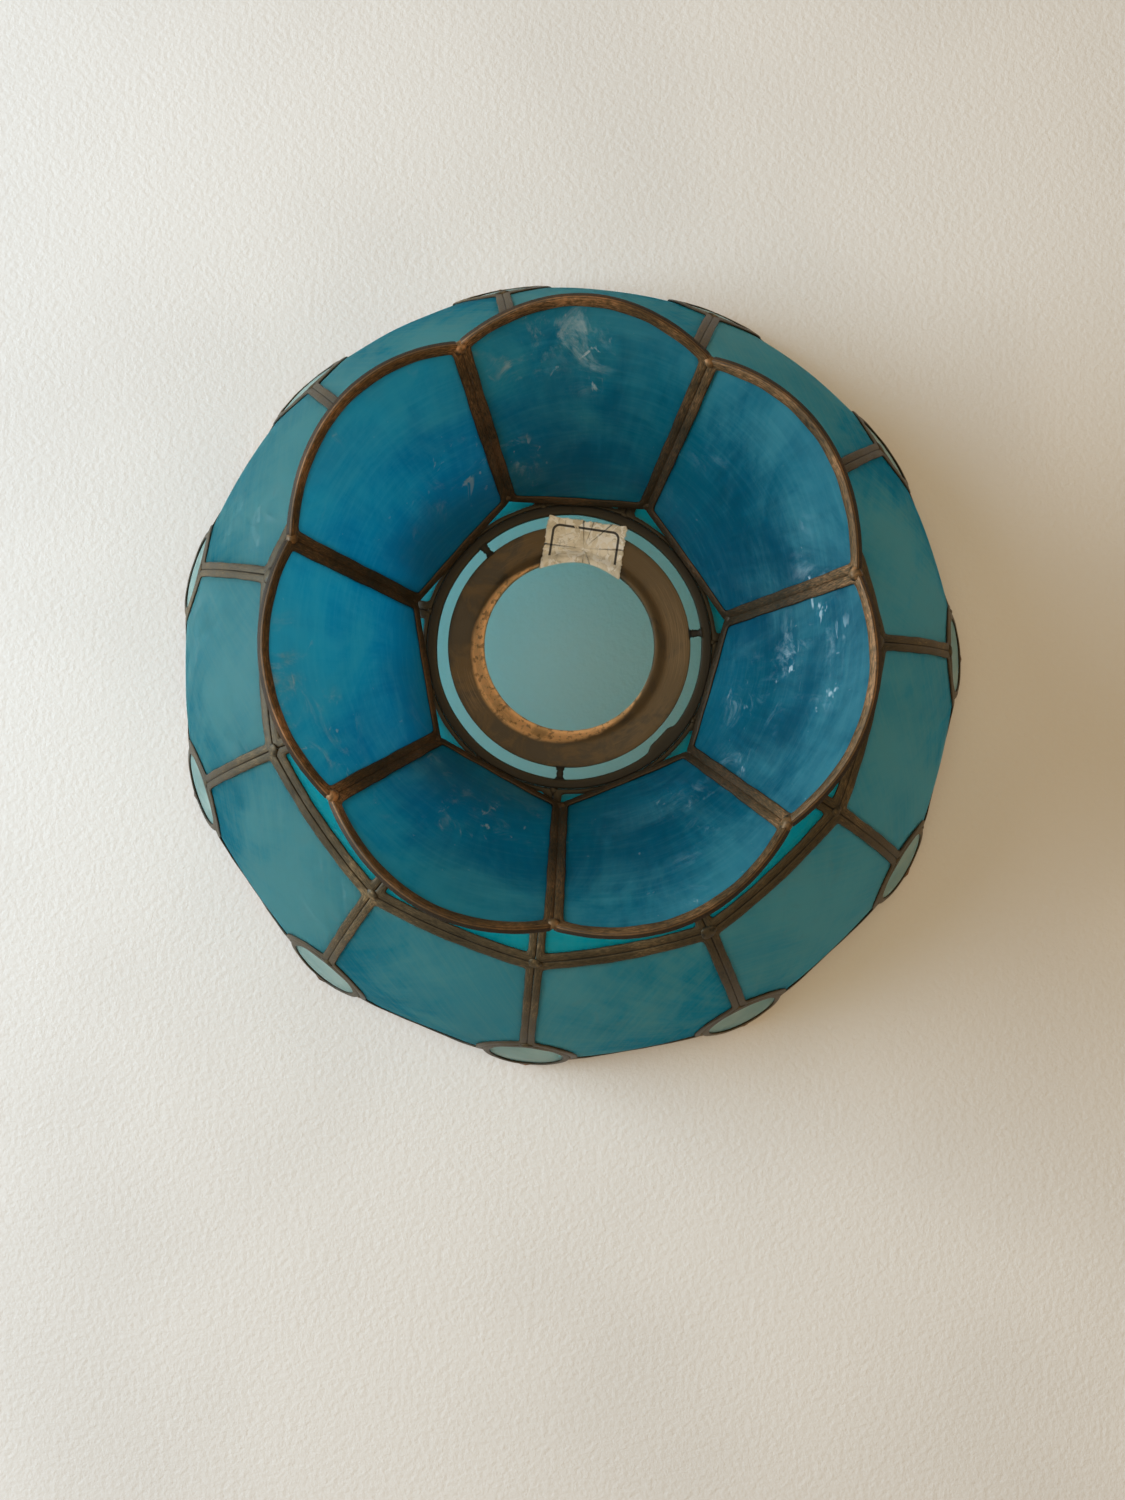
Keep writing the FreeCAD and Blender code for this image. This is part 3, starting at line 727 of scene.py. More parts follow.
shoulder_finish = shell_finish(
    "bright_teal_shell", (SHOULDER_DEEP, SHOULDER_BODY, SHOULDER_PALE), (SHOULDER_DYED, SHOULDER_UNDYED),
    through_share=0.92, chalk_share=0.15, cloud_scale=24.0, haze_reach=(3.0, 10.0),
)
strips = []
for k, bearing in enumerate(panel_bearings, 1):
    chance = np.random.default_rng(300 + k)
    hinge = (chance.uniform(-SHOULDER_HINGE_SIDE, SHOULDER_HINGE_SIDE), SHOULDER_HINGE_UP)
    valve = shell_pane(shoulder_place, shoulder_room, SHOULDER_MIDDLE, bearing, chance, hinge)
    pane = make_piece("shoulder_shell_%d" % k, [valve], shoulder_finish)
    fasten(pane, "dome_shell", "shoulder_pane_%d" % k)
    strips.append(channel(shoulder_place, shoulder_room, SHOULDER_MIDDLE, bearing, chance))
shoulder_strips = make_piece("shoulder_strips", strips, dome_bronze)
fasten(shoulder_strips, "bronze", "shoulder_channels")

# ---- Medallions: eleven round panes over the struts' feet ------------------------------
# Discs of nearly undyed shell, each in a ring of channel that bridges two belly panes and
# stands on the rim.
MEDALLION_BOW = 0.0015
MEDALLION_HINGE_SIDE = 1.5
MEDALLION_HINGE_RISE = 0.1
PALE_DEEP = (0.180, 0.280, 0.255, 1.0)
PALE_BODY = (0.290, 0.400, 0.365, 1.0)
PALE_LIGHT = (0.440, 0.540, 0.480, 1.0)
PALE_DYED = (0.90, 0.96, 0.92, 1.0)
PALE_UNDYED = (1.0, 1.0, 0.98, 1.0)


def medallion_place(s, t):
    """The medallion's middle surface, over the strut in the plane of +X."""
    r, z, out, up = strut_line(MEDALLION_T + np.asarray(t, float))
    return np.stack([r - MEDALLION_BOW * s * s, s * MEDALLION_RADIUS, z], axis=-1)


def medallion_room(points):
    """How far points lie inside a medallion's round outline."""
    return MEDALLION_RADIUS - from_medallion(points)


pale_finish = shell_finish(
    "pale_shell", (PALE_DEEP, PALE_BODY, PALE_LIGHT), (PALE_DYED, PALE_UNDYED),
    through_share=0.92, chalk_share=0.3, cloud_scale=34.0, haze_reach=(0.5, 4.0),
)
strips = []
for k, bearing in enumerate(strut_bearings, 1):
    chance = np.random.default_rng(400 + k)
    hinge_side = chance.choice([-MEDALLION_HINGE_SIDE, MEDALLION_HINGE_SIDE])
    hinge = (hinge_side, chance.uniform(-MEDALLION_HINGE_RISE, MEDALLION_HINGE_RISE))
    valve = shell_pane(medallion_place, medallion_room, (0.0, 0.0), bearing, chance, hinge)
    pane = make_piece("medallion_shell_%d" % k, [valve], pale_finish)
    fasten(pane, "pale_shell", "medallion_%d" % k)
    strips.append(channel(medallion_place, medallion_room, (0.0, 0.0), bearing, chance))
medallion_strips = make_piece("medallion_strips", strips, dome_bronze)
fasten(medallion_strips, "bronze", "medallion_channels")

# ---- Fillers: slivers of pale shell between the scallops, the medallions and the rim ----
# Offcuts ground to fit their gap, soldered round the edge and without a channel of their own.
FILLER_MIDDLE_END = 0.007
FILLER_CORNER_END = 0.004
FILLER_MIDDLE = (0.62, 0.935)
FILLER_HINGE = (1.8, 0.8)


def filler_room(points):
    """How far points lie inside the gap below a scallop."""
    folded = points * np.array([1.0, 0.0, 1.0]) + np.abs(points) * np.array([0.0, 1.0, 0.0])
    medallion = from_medallion(spun(folded, -PANEL_HALF)) - MEDALLION_RADIUS - SOLDER_GAP
    end = np.abs(points[..., 1]) - FILLER_MIDDLE_END
    corner = side_room(points, PANEL_HALF) - FILLER_CORNER_END
    foot = points[..., 2] - RIM_SEAT
    return soft_least(-scallop_room(points), medallion, end, corner, foot) + PANE_INSET


slivers = []
for k, bearing in enumerate(panel_bearings):
    chance = np.random.default_rng(500 + k)
    for side in (-1.0, 1.0):
        middle = (side * FILLER_MIDDLE[0], FILLER_MIDDLE[1])
        hinge = (side * FILLER_HINGE[0], FILLER_HINGE[1])
        slivers.append(shell_pane(belly_place, filler_room, middle, bearing, chance, hinge))
filler_shells = make_piece("filler_shells", slivers, pale_finish)
fasten(filler_shells, "pale_shell", "filler_panes")

# ---- Rim: one bronze strip round the foot -----------------------------------------------
# A flat strip bent at the eleven struts and lapped at one of them. Its outer face is dark,
# its edges are worn to copper where the shade is stood down.
RIM_THICKNESS = 0.0018
RIM_STEPS = 36
# v stays inside this band, so the bronze's painted shade does not fall on the rim.
UNSHADED_BAND = (0.08, 0.24)
RIM_SECTION = (
    (-0.36, 0.0), (0.36, 0.0), (0.47, 0.05), (0.50, 0.13), (0.50, 0.50), (0.50, 0.87), (0.45, 0.96),
    (0.32, 1.0), (-0.32, 1.0), (-0.45, 0.96), (-0.50, 0.87), (-0.50, 0.50), (-0.50, 0.13), (-0.47, 0.05),
)
RIM_SWAY = 0.00018
RIM_WAVES = (0.012, 0.03, 0.07)
COPPER_DARK = (0.040, 0.018, 0.010, 1.0)
COPPER_BODY = (0.140, 0.066, 0.032, 1.0)
COPPER_BRIGHT = (0.56, 0.27, 0.12, 1.0)

copper_finish = bronze_finish(
    "rubbed_copper", (COPPER_DARK, COPPER_BODY, COPPER_BRIGHT), wear_reach=(0.47, 0.60), shine=0.75,
    smoke_reach=(0.036, 0.046),
)
chance = np.random.default_rng(600)
line = []
for bearing in panel_bearings:
    s = np.linspace(-1.0, 1.0, RIM_STEPS, endpoint=False)[::-1]
    x = RIM_RADIUS * math.cos(PANEL_HALF) + RIM_BOW * (1.0 - s * s)
    line.append(turned(np.stack([x, s * RIM_RADIUS * math.sin(PANEL_HALF), 0.0 * s], axis=-1), bearing))
line = np.concatenate(line)
outward = unit(line)
run = np.arange(len(line)) / len(line)
length = 2.0 * math.pi * RIM_RADIUS
line = line - outward * (RIM_SWAY * (1.0 + wander(run, length, chance, RIM_WAVES)))[:, None]
rows = []
uv = []
for j, (across, height) in enumerate(RIM_SECTION):
    rise = overhead * height * RIM_HEIGHT
    rows.append(line + outward * across * RIM_THICKNESS + rise)
    bare = UNSHADED_BAND[0] + (UNSHADED_BAND[1] - UNSHADED_BAND[0]) * j / len(RIM_SECTION)
    uv.append(np.stack([run * length / CENTIMETRE, np.full(len(line), bare)], axis=-1))
faces = grid_faces(len(RIM_SECTION), len(line), close_rows=True)
rim_strip = make_piece("rim_strip", [(np.concatenate(rows), faces, np.concatenate(uv))], copper_finish)
fasten(rim_strip, "bronze", "rim_ring")

# ---- Neck ring: the dome's top hoop -------------------------------------------------------
# A hoop cut from sheet and closed with a lapped, soldered joint that stands into the gap.
NECK_RING_INNER = 0.0330
NECK_RING_THICKNESS = 0.0012
NECK_LAP_BEARING = math.radians(133.0)
NECK_LAP_ANGLE = math.radians(14.0)
NECK_LAP_STEP = 0.0011
NECK_LAP_FADE = 0.012
HOOP_SECTION = (
    (0.0, 0.15), (0.0, 0.80), (0.06, 0.94), (0.16, 1.0), (0.84, 1.0), (0.94, 0.94), (1.0, 0.80), (1.0, 0.15),
    (0.92, 0.0), (0.08, 0.0),
)
HOOP_COUNT = 288
HOOP_MEAN = 0.030
HOOP_SWAY = 0.00012
HOOP_WAVES = (0.02, 0.05, 0.1)


def hoop(section, inner, outer, bottom, top):
    """A closed hoop whose inner radius follows the bearing."""
    bearings = 2.0 * math.pi * np.arange(HOOP_COUNT) / HOOP_COUNT
    rows = []
    uv = []
    for j, (across, height) in enumerate(section):
        r = inner + (outer - inner) * across
        z = np.full(HOOP_COUNT, bottom + (top - bottom) * height)
        rows.append(np.stack([r * np.sin(bearings), r * np.cos(bearings), z], axis=-1))
        run = bearings * HOOP_MEAN / CENTIMETRE
        # v round the section puts the bronze's painted shade on the hoop's top, outer side and underside.
        uv.append(np.stack([run, np.full(HOOP_COUNT, j / len(section))], axis=-1))
    faces = grid_faces(len(section), HOOP_COUNT, close_rows=True)
    return np.concatenate(rows), faces, np.concatenate(uv)


chance = np.random.default_rng(700)
run = np.arange(HOOP_COUNT) / HOOP_COUNT
from_lap = np.abs((2.0 * math.pi * run - NECK_LAP_BEARING + math.pi) % (2.0 * math.pi) - math.pi)
lap = NECK_LAP_STEP / (1.0 + np.exp((from_lap - 0.5 * NECK_LAP_ANGLE) / NECK_LAP_FADE))
sway = HOOP_SWAY * wander(run, 2.0 * math.pi * NECK_RING_INNER, chance, HOOP_WAVES)
hoop_foot = NECK_HEIGHT - NECK_RING_THICKNESS
ring = hoop(HOOP_SECTION, NECK_RING_INNER - lap + sway, NECK_RING_OUTER, hoop_foot, NECK_HEIGHT)
neck_hoop = make_piece("neck_hoop", [ring], dome_bronze)
fasten(neck_hoop, "bronze", "neck_ring")

# ---- Fitter: the washer that takes the lampholder, on three tabs ------------------------
# A spun washer with a raised lip round its bore. The flat is brown and smoked by the lamp;
# the lampholder's ring has rubbed the lip to bare copper, and the copper band is painted wider
# towards the lower left, where the window lights it. Three tabs hold it in the hoop.
FITTER_SECTION = (
    (0.03020, 0.06935), (0.03020, 0.06985), (0.02995, 0.07000), (0.02860, 0.06999), (0.02700, 0.07001),
    (0.02540, 0.07001), (0.02440, 0.07004), (0.02385, 0.07022), (0.02330, 0.07070), (0.02270, 0.07125),
    (0.02215, 0.07172), (0.02175, 0.07194), (0.02140, 0.07199), (0.02112, 0.07188), (0.02102, 0.07160),
    (0.02101, 0.07080), (0.02103, 0.07035), (0.02125, 0.07021), (0.02200, 0.06988), (0.02290, 0.06945),
    (0.02360, 0.06922), (0.02600, 0.06921), (0.02900, 0.06921), (0.03010, 0.06922),
)
FITTER_DENT = 0.00010
FITTER_WAVES = (0.01, 0.02, 0.05)
FITTER_MEAN = 0.025
FLAT_ROWS = 6
FLAT_DENT = 0.4
LIP_OUTER = 0.0240
LIP_WORN_AND_LIT_EDGE = (0.0224, 0.0234)
WASHER_DARK = (0.046, 0.034, 0.018, 1.0)
WASHER_BODY = (0.105, 0.068, 0.028, 1.0)
WASHER_BRIGHT = (0.20, 0.125, 0.056, 1.0)
LIP_COPPER = (0.80, 0.46, 0.21, 1.0)
LIP_BROWN = (0.46, 0.28, 0.125, 1.0)

finish = Finish("smoked_washer")
place = finish.place()
apart, apart_y = finish.split(place)
radius = finish.from_axis(place)
turning = finish.node("UVMap", {"uv_map": "sheet"}, {})
brushed = finish.noise(finish.stretched(turning, 0.7, 60.0), 2.0, 4.0, 0.6)
stain = finish.noise(place, 95.0, 5.0, 0.62, 0.8)
cloud = finish.noise(place, 38.0, 2.0, 0.5)
flat = finish.blend(finish.between(stain * 0.7 + cloud * 0.3, 0.42, 0.56), WASHER_DARK, WASHER_BODY)
flat = finish.blend(finish.between(brushed * 0.5 + cloud * 0.5, 0.52, 0.68) * 0.6, flat, WASHER_BRIGHT)
lip = finish.blend(finish.between(stain * 0.7 + brushed * 0.3, 0.42, 0.56), LIP_BROWN, LIP_COPPER)
spots = finish.between(finish.noise(place, 650.0, 3.0, 0.6), 0.52, 0.64)
lip = finish.blend(spots * 0.6, lip, WASHER_DARK)
# Painted light: the copper band reaches further out towards the lower left, the side the window lights, and
# is narrower on the far side.
lit_side_lean = apart * 0.085 + apart_y * 0.070
lip_share = 1.0 - finish.between(radius + lit_side_lean + stain * 0.0016, *LIP_WORN_AND_LIT_EDGE)
colour = finish.blend(lip_share, flat, lip)
washer_finish = finish.surface(finish.node("BsdfPrincipled", {}, {
    "Base Color": colour,
    "Metallic": lip_share * 0.1 + 0.08,
    "Roughness": finish.between(stain, 0.3, 0.7, 0.50, 0.66),
    "Normal": finish.bump(brushed * 0.4 + stain * 0.6, 0.0003, 0.5),
}))

chance = np.random.default_rng(710)
bearings = 2.0 * math.pi * run
rows = []
uv = []
for j, (r, z) in enumerate(FITTER_SECTION):
    dent = FITTER_DENT * wander(run, 2.0 * math.pi * LIP_OUTER, chance, FITTER_WAVES)
    dent = dent * (FLAT_DENT if j < FLAT_ROWS else 1.0)
    radii = r + 0.5 * np.abs(dent)
    rows.append(np.stack([radii * np.sin(bearings), radii * np.cos(bearings), z + 0.3 * dent], axis=-1))
    ahead = bearings * FITTER_MEAN / CENTIMETRE
    uv.append(np.stack([ahead, np.full(HOOP_COUNT, j / len(FITTER_SECTION))], axis=-1))
faces = grid_faces(len(FITTER_SECTION), HOOP_COUNT, close_rows=True)
washer = make_piece("fitter_washer", [(np.concatenate(rows), faces, np.concatenate(uv))], washer_finish)
fasten(washer, "bronze", "fitter_ring")

TAB_BEARINGS = (-42.7, 81.8, 182.0)
TAB_INNER = 0.0299
TAB_OUTER = 0.0333
TAB_WIDTH = 0.0017
TAB_TOP = NECK_HEIGHT + 0.00005
TAB_THICKNESS = 0.0008
TAB_ROWS = 13
TAB_BEVEL = 0.0002
TAB_SOLDER_RISE = 0.00025
TAB_SOLDER_SWELL = 0.75
TAB_UNEVEN = 0.1


def strip_tab(bearing, chance):
    """A short strip, thicker where solder runs up its ends."""
    rows = []
    uv = []
    for i in range(TAB_ROWS):
        share = i / (TAB_ROWS - 1)
        end = abs(2.0 * share - 1.0) ** 3
        half = 0.5 * TAB_WIDTH * (1.0 + TAB_SOLDER_SWELL * end + TAB_UNEVEN * chance.normal())
        x = TAB_INNER + (TAB_OUTER - TAB_INNER) * share
        top = TAB_TOP + TAB_SOLDER_RISE * end
        low = TAB_TOP - TAB_THICKNESS
        loop = [(-half, low), (-half, top - TAB_BEVEL), (-0.8 * half, top)]
        loop += [(-y, z) for y, z in reversed(loop)]
        rows.append([(x, y, z) for y, z in loop])
        # v round the loop puts the bronze's painted shade on the top and one side of each tab.
        uv.append([(share, j / len(loop)) for j in range(len(loop))])
    faces = grid_faces(TAB_ROWS, 6)
    faces += [tuple(range(6)), tuple(range(6 * (TAB_ROWS - 1), 6 * TAB_ROWS))]
    return turned(np.array(rows).reshape(-1, 3), math.radians(bearing)), faces, np.array(uv).reshape(-1, 2)


chance = np.random.default_rng(720)
tabs = make_piece("fitter_strips", [strip_tab(bearing, chance) for bearing in TAB_BEARINGS], dome_bronze)
fasten(tabs, "bronze", "fitter_tabs")

# ---- Crown: seven petals that flare from the neck ---------------------------------------
# Deep blue shell, cupped along its length. Each petal's channel is thicker and more rubbed
# at its round tip than anywhere else on the shade, and neighbours' tips step a little.
PETAL_COUNT = 7
PETAL_HALF = math.pi / PETAL_COUNT
CROWN_BEARING = math.radians(-24.6)
CROWN_FOOT_STEP = 0.00046
CROWN_FLARE = 0.0234
CROWN_TIP_RISE = 0.0429
PETAL_CROWNING = 0.0050
PETAL_TIP_EXTENSION = 0.0090
CROWN_STRETCH = 0.019
CROWN_BASE_HEIGHT = NECK_HEIGHT + SOLDER_GAP
PETAL_FOOT = NECK_RING_OUTER + CROWN_FOOT_STEP
CROWN_BASE_RADIUS = PETAL_FOOT / math.cos(PETAL_HALF)
CROWN_TIP_RADIUS = CROWN_BASE_RADIUS + CROWN_FLARE
PETAL_RUN = CROWN_FLARE * math.cos(PETAL_HALF)
PETAL_LENGTH = math.hypot(PETAL_RUN, CROWN_TIP_RISE)
PETAL_UP = np.array([PETAL_RUN / PETAL_LENGTH, 0.0, CROWN_TIP_RISE / PETAL_LENGTH])
PETAL_NORMAL = np.array([PETAL_UP[2], 0.0, -PETAL_UP[0]])
TIP_SIDE = CROWN_TIP_RADIUS * math.sin(PETAL_HALF)
PETAL_MIDDLE = (0.0, 0.55)
PETAL_HINGE_SIDE = 0.5
PETAL_HINGE_UP = -0.45
PETAL_DEEP = (0.0, 0.125, 0.225, 1.0)
PETAL_BODY = (0.0, 0.235, 0.360, 1.0)
PETAL_PALE = (0.10, 0.365, 0.440, 1.0)
PETAL_DYED = (0.0, 0.36, 0.50, 1.0)
PETAL_UNDYED = (0.06, 0.51, 0.60, 1.0)


def petal_place(s, t):
    """The petal's middle surface, in the plane of +X, t = 0 at its foot, 1 at the ends of its sides."""
    r = CROWN_BASE_RADIUS + CROWN_FLARE * t
    z = CROWN_BASE_HEIGHT + CROWN_TIP_RISE * t
    flat = np.stack([r * math.cos(PETAL_HALF), s * r * math.sin(PETAL_HALF), z], axis=-1)
    cup = PETAL_CROWNING * (1.0 - s * s) * np.maximum(0.0, t)
    return flat + PETAL_NORMAL * np.asarray(cup)[..., None]


def petal_outline(stretch):
    """The room inside one petal's outline: level foot, two straight sides and a round tip."""
    extension = PETAL_TIP_EXTENSION + stretch
    tip_radius = (TIP_SIDE ** 2 + extension ** 2) / (2.0 * extension)
    foot = np.array([PETAL_FOOT, 0.0, CROWN_BASE_HEIGHT])
    centre = foot + PETAL_UP * (PETAL_LENGTH + extension - tip_radius)

    def room(points):
        """How far points lie inside this petal and its channel."""
        away = points - centre
        along = away @ PETAL_NORMAL
        tip = tip_radius - np.sqrt(np.maximum((away ** 2).sum(axis=-1) - along ** 2, 0.0))
        level = (points[..., 2] - CROWN_BASE_HEIGHT) / PETAL_UP[2]
        return soft_least(side_room(points, PETAL_HALF), tip, level)

    return room


def crown_set(part):
    """A crown part pulled slightly oval towards its tips, as the soldered crown stands."""
    points, faces, uv = part
    share = np.clip((points[:, 2] - CROWN_BASE_HEIGHT) / CROWN_TIP_RISE, 0.0, 1.2) * CROWN_STRETCH
    across = points @ image_right
    along = points @ image_up
    points = points - np.outer(across * share, image_right) + np.outer(along * share, image_up)
    return points, faces, uv


crown_finish = shell_finish(
    "blue_shell", (PETAL_DEEP, PETAL_BODY, PETAL_PALE), (PETAL_DYED, PETAL_UNDYED),
    through_share=0.78, chalk_share=1.05, cloud_scale=17.0, haze_reach=(3.0, 8.5),
)
CROWN_BODY = (0.175, 0.097, 0.038, 1.0)
crown_bronze = bronze_finish(
    "rubbed_bronze", (BRONZE_DARK, CROWN_BODY, COPPER_BRIGHT), wear_reach=(0.49, 0.66), shine=0.45,
    smoke_reach=(0.049, 0.063),
)
petal_bearings = [CROWN_BEARING + 2.0 * PETAL_HALF * (k + 0.5) for k in range(PETAL_COUNT)]
PETAL_STRETCH = (-0.0002, -0.0007, -0.0001, -0.0005, -0.0003, -0.0006, 0.0)

for k, bearing in enumerate(petal_bearings, 1):
    chance = np.random.default_rng(800 + k)
    room = petal_outline(PETAL_STRETCH[k - 1])
    hinge = (chance.uniform(-PETAL_HINGE_SIDE, PETAL_HINGE_SIDE), PETAL_HINGE_UP)
    valve = crown_set(shell_pane(petal_place, room, PETAL_MIDDLE, bearing, chance, hinge))
    pane = make_piece("petal_shell_%d" % k, [valve], crown_finish)
    fasten(pane, "crown_shell", "crown_petal_%d" % k)
    strip = crown_set(channel(petal_place, room, PETAL_MIDDLE, bearing, chance))
    binding = make_piece("petal_strip_%d" % k, [strip], crown_bronze)
    fasten(binding, "bronze", "crown_channel_%d" % k)

# ---- Solder: lumps wherever channels meet ------------------------------------------------
# Soft solder, browned with the channels. It bridges the bends at the seam, the medallions'
# tops and sides, the rim's corners, the neck and both ends of the crown's ribs.
LUMP_ROWS = 9
LUMP_COLUMNS = 16
LUMP_UNEVEN = 0.16
LUMP_WAVES = (1.3, 2.1, 3.3)
LUMP_STREAKS = (100.0, 20.0)
LUMP_BAND = (0.0, 0.15)
SEAM_LUMP = (0.0017, 0.0019, 0.00055)
SEAM_LIFT = 0.00062
CROWNING_LUMP = (0.0012, 0.0021, 0.00060)
CROWNING_LIFT = 0.00070
SIDE_LUMP = (0.0017, 0.0009, 0.00060)
SIDE_LIFT = 0.0003
SIDE_STEP = 0.01
RIM_LUMP = (0.0026, 0.0017, 0.00110)
RIM_LUMP_INSET = 0.0006
NECK_LUMP = (0.0009, 0.0009, 0.0007)
NECK_LUMP_OUT = 0.0003
NECK_LUMP_UP = 0.0002
RIB_FOOT = (0.03, (0.0016, 0.0016, 0.0011))
RIB_TIP = (0.985, (0.0013, 0.0018, 0.0012))
RIB_INSET = 0.0004


def lump(bearing, centre, along, normal, size, chance):
    """A rounded drop of solder, built over +X: half lengths along, across and up from the metal."""
    across = np.cross(normal, along)
    rows = []
    for i in range(LUMP_ROWS):
        tilt = math.pi * (i + 0.5) / LUMP_ROWS
        turn = 2.0 * math.pi * np.arange(LUMP_COLUMNS) / LUMP_COLUMNS
        height = np.full(LUMP_COLUMNS, math.cos(tilt))
        rows.append(np.stack([math.sin(tilt) * np.cos(turn), math.sin(tilt) * np.sin(turn), height], axis=-1))
    ball = np.concatenate(rows)
    swell = 1.0 + LUMP_UNEVEN * ripple(ball, chance, 1.0, LUMP_WAVES)
    ball = ball * swell[:, None] * size
    points = centre + ball @ np.stack([along, across, normal])
    faces = grid_faces(LUMP_ROWS, LUMP_COLUMNS)
    last = LUMP_COLUMNS * (LUMP_ROWS - 1)
    faces += [tuple(range(LUMP_COLUMNS)), tuple(range(last, last + LUMP_COLUMNS))]
    return turned(points, bearing), faces, ball[:, :2] * np.array(LUMP_STREAKS) + np.array(LUMP_BAND)


def on_strut(t, lift, offset=0.0):
    """A point, its run down the strut and its outward direction, in the plane of +X."""
    r, z, out, up = strut_line(t)
    normal = np.array([out, 0.0, up])
    return np.array([r, offset, z]) + normal * lift, np.array([up, 0.0, -out]), normal


seam_lumps = []
rim_lumps = []
level = np.array([0.0, 1.0, 0.0])
ahead = np.array([1.0, 0.0, 0.0])
medallion_top = MEDALLION_T - MEDALLION_RADIUS / (BELLY_ARC * (BELLY_START - BELLY_END))
chance = np.random.default_rng(900)
for bearing in strut_bearings:
    for t, lift, size in ((0.0, SEAM_LIFT, SEAM_LUMP), (medallion_top, CROWNING_LIFT, CROWNING_LUMP)):
        centre, down, normal = on_strut(t, lift)
        size = np.array(size) * chance.uniform(0.8, 1.15)
        seam_lumps.append(lump(bearing, centre, down, normal, size, chance))
    for side in (-1.0, 1.0):
        centre, down, normal = on_strut(MEDALLION_T + SIDE_STEP, SIDE_LIFT, side * MEDALLION_RADIUS)
        size = np.array(SIDE_LUMP) * chance.uniform(0.75, 1.15)
        seam_lumps.append(lump(bearing, centre - ahead * MEDALLION_BOW, down, normal, size, chance))
    corner = np.array([RIM_RADIUS - RIM_LUMP_INSET, 0.0, 0.6 * RIM_HEIGHT])
    size = np.array(RIM_LUMP) * chance.uniform(0.85, 1.1)
    rim_lumps.append(lump(bearing, corner, level, ahead, size, chance))
neck_foot = np.array([SHOULDER_INNER + NECK_LUMP_OUT, 0.0, SHOULDER_TOP + NECK_LUMP_UP])
for bearing in strut_bearings:
    size = np.array(NECK_LUMP) * chance.uniform(0.9, 1.2)
    seam_lumps.append(lump(bearing, neck_foot, ahead, overhead, size, chance))
fasten(make_piece("seam_solder", seam_lumps, dome_bronze), "bronze")
fasten(make_piece("rim_solder", rim_lumps, copper_finish), "bronze")

crown_lumps = []
rib = unit(np.array([CROWN_FLARE, 0.0, CROWN_TIP_RISE]))
inner = np.array([-rib[2], 0.0, rib[0]])
chance = np.random.default_rng(910)
for k in range(PETAL_COUNT):
    bearing = CROWN_BEARING + 2.0 * PETAL_HALF * k
    for t, size in (RIB_FOOT, RIB_TIP):
        r = CROWN_BASE_RADIUS + CROWN_FLARE * t
        centre = np.array([r - RIB_INSET, 0.0, CROWN_BASE_HEIGHT + CROWN_TIP_RISE * t])
        size = np.array(size) * chance.uniform(0.85, 1.15)
        crown_lumps.append(crown_set(lump(bearing, centre, rib, inner, size, chance)))
fasten(make_piece("crown_solder", crown_lumps, crown_bronze), "bronze")

# ---- Paper label: torn, stuck over the washer and its lip ---------------------------------
# Uncoated paper with a printed frame line, creased and rubbed, with painted shade along its
# creases. It was torn off along the bore, and its inner edge droops over the lip.
LABEL_BEARING = math.radians(6.3)
LABEL_HALF = 0.0099
LABEL_INNER = 0.0178
LABEL_OUTER = 0.0317
LABEL_TEAR = 0.0011
TEAR_WAVES = (0.0031, 0.0052, 0.009)
TORN_SWAY = 0.0001925
LABEL_NIBBLE = 0.00015
LABEL_WAVE = 0.00008
LABEL_TORN = 0.0206
LABEL_THICKNESS = 0.00014
LABEL_RAYS = 160
LABEL_MIDDLE = 0.5 * (LABEL_INNER + LABEL_OUTER)
LABEL_HEIGHT = 0.5 * (LABEL_OUTER - LABEL_INNER)
LABEL_LIFT = 0.00020
LIP_CREST = 0.0214
DROOP_BEND = 14.0
WASHER_TOP = np.array(FITTER_SECTION[12:1:-1])


def label_place(s, t):
    """The label's middle surface: s along the tangent, t out along the radius, in metres."""
    x = LABEL_MIDDLE + t
    r = np.hypot(x, s)
    droop = np.maximum(0.0, LIP_CREST - r)
    z = np.interp(r, WASHER_TOP[:, 0], WASHER_TOP[:, 1]) + LABEL_LIFT - DROOP_BEND * droop ** 2
    return np.stack([x, s, z], axis=-1)


chance = np.random.default_rng(1000)
rays = 2.0 * math.pi * np.arange(LABEL_RAYS) / LABEL_RAYS
side = LABEL_HALF / np.maximum(np.abs(np.cos(rays)), 1e-6)
end = LABEL_HEIGHT / np.maximum(np.abs(np.sin(rays)), 1e-6)
edge = np.stack([np.cos(rays), np.sin(rays)], axis=-1) * np.minimum(side, end)[:, None]
torn = np.clip(-edge[:, 1] / LABEL_HEIGHT, 0.0, 1.0) ** 6
tear = ripple(np.outer(edge[:, 0], ahead), chance, 1.0, TEAR_WAVES)
edge[:, 1] += LABEL_TEAR * torn * (0.4 + tear)
edge += LABEL_NIBBLE * chance.normal(size=edge.shape)
torn_radius = LABEL_TORN + TORN_SWAY * tear
torn_reach = np.sqrt(torn_radius ** 2 - edge[:, 0] ** 2) - LABEL_MIDDLE
edge[:, 1] = np.maximum(edge[:, 1], torn_reach)
points, faces, sheet, _ = thin_sheet(label_place, (0.0, 0.0), edge, LABEL_THICKNESS, chance, LABEL_WAVE)
flat_uv = np.stack([sheet[:, 1], sheet[:, 0] - LABEL_MIDDLE], axis=-1) / CENTIMETRE

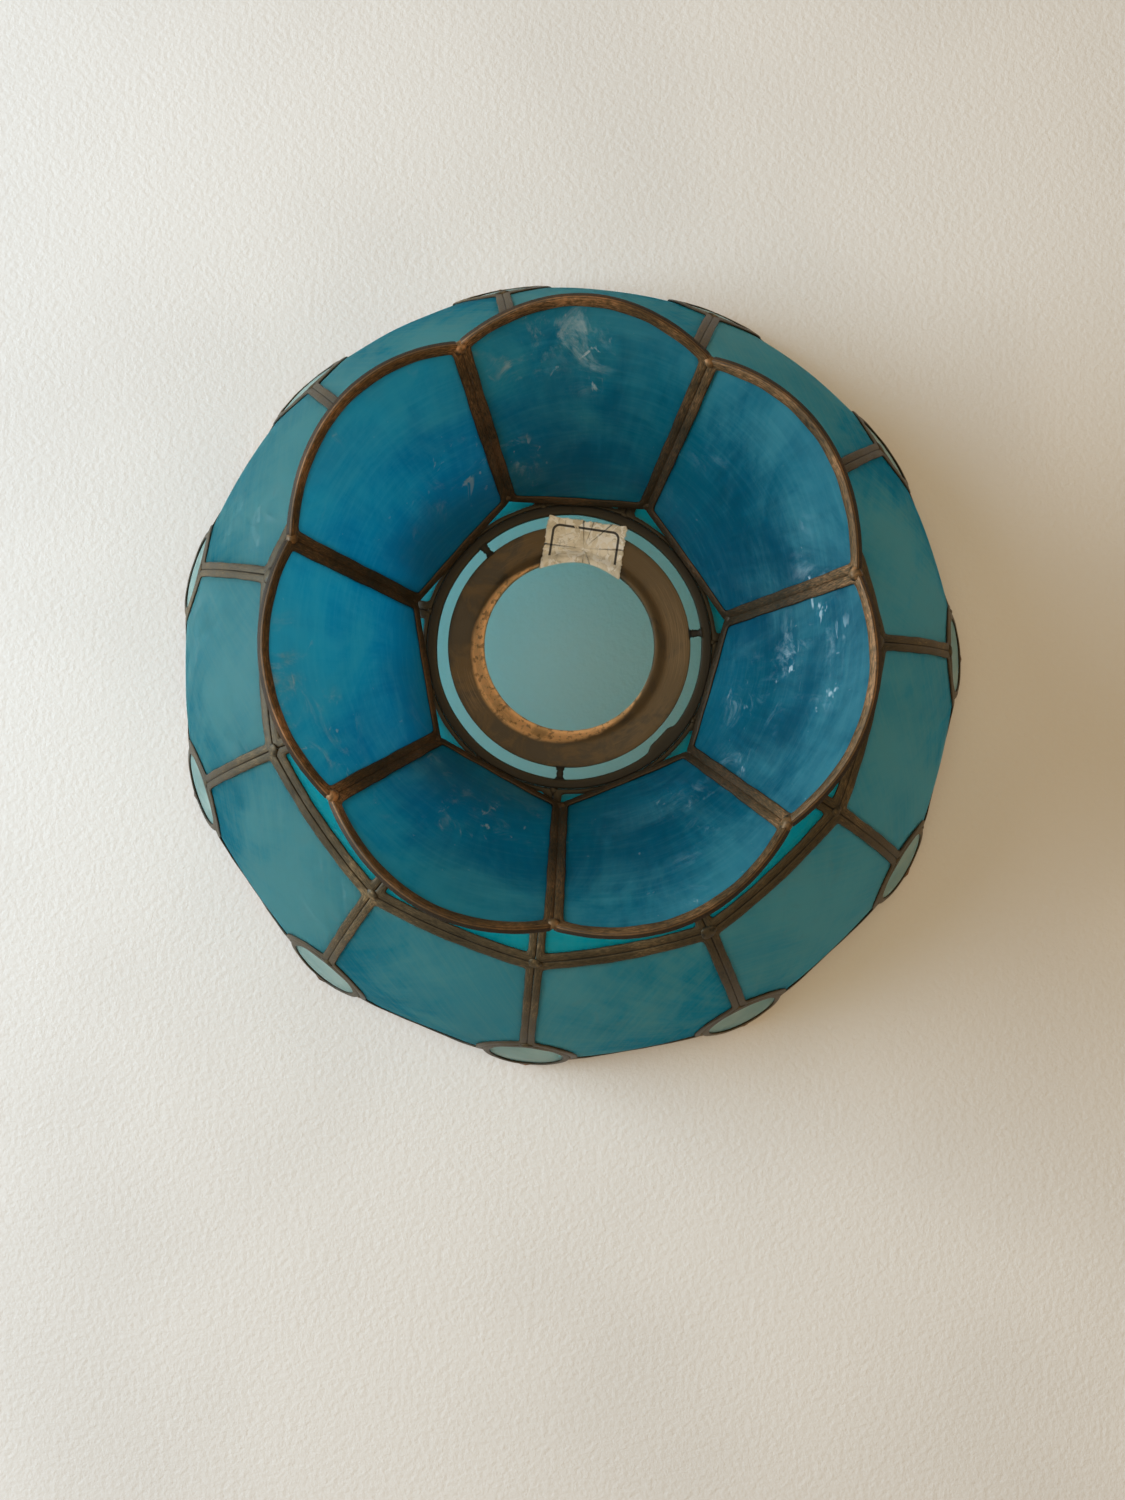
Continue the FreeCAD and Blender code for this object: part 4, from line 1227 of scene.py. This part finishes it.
PAPER = (0.84, 0.80, 0.70, 1.0)
PAPER_STAINED = (0.62, 0.57, 0.46, 1.0)
PAPER_TORN = (0.88, 0.87, 0.83, 1.0)
# Colour of the painted shade in the paper's creases.
PAPER_CREASE_SHADE = (0.30, 0.27, 0.21, 1.0)
INK = (0.016, 0.017, 0.020, 1.0)
FRAME_HALF = 0.82
FRAME_HEIGHT = 0.50
FRAME_CORNER = 0.16
FRAME_LINE = 0.050
FRAME_END = -0.33

finish = Finish("worn_paper")
place = finish.place()
page = finish.node("UVMap", {"uv_map": "sheet"}, {})
page_x, page_y = finish.split(page)


def beyond(value, half):
    """How far a coordinate lies beyond a half size, or nothing."""
    reach = abs(value) - (half - FRAME_CORNER)
    return reach.maths("MAXIMUM", reach, 0.0)


corner_reach = (beyond(page_x, FRAME_HALF) ** 2.0 + beyond(page_y, FRAME_HEIGHT) ** 2.0) ** 0.5
from_line = abs(corner_reach - FRAME_CORNER)
fibre = finish.noise(place, 900.0, 4.0, 0.65)
patches = finish.noise(place, 210.0, 3.0, 0.6, 0.8)
line = 1.0 - finish.between(from_line, 0.5 * FRAME_LINE, 0.68 * FRAME_LINE)
line = line * finish.between(patches, 0.34, 0.39) * finish.between(page_y, FRAME_END, FRAME_END + 0.03)
paper = finish.blend(finish.between(patches, 0.35, 0.6), PAPER_STAINED, PAPER)
rubbed = finish.between(finish.noise(place, 320.0, 3.0, 0.6, 1.0), 0.52, 0.56)
paper = finish.blend(rubbed, paper, PAPER_TORN)
# Painted shade: thin dark lines where the paper is creased.
crease_shade = 1.0 - finish.between(abs(finish.noise(place, 130.0, 3.0, 0.6, 1.4) - 0.5), 0.004, 0.014)
paper = finish.blend(crease_shade * 0.4, paper, PAPER_CREASE_SHADE)
label_finish = finish.surface(finish.node("BsdfPrincipled", {}, {
    "Base Color": finish.blend(line * 0.95, paper, INK),
    "Roughness": finish.between(fibre, 0.3, 0.7, 0.75, 0.95),
    "Normal": finish.bump(fibre * 0.4 + patches * 0.6, 0.0002, 0.6),
}))
sheet = (turned(points, LABEL_BEARING), faces, np.concatenate([flat_uv, flat_uv]))
fasten(make_piece("torn_label", [sheet], label_finish), "label_paper", "paper_label")
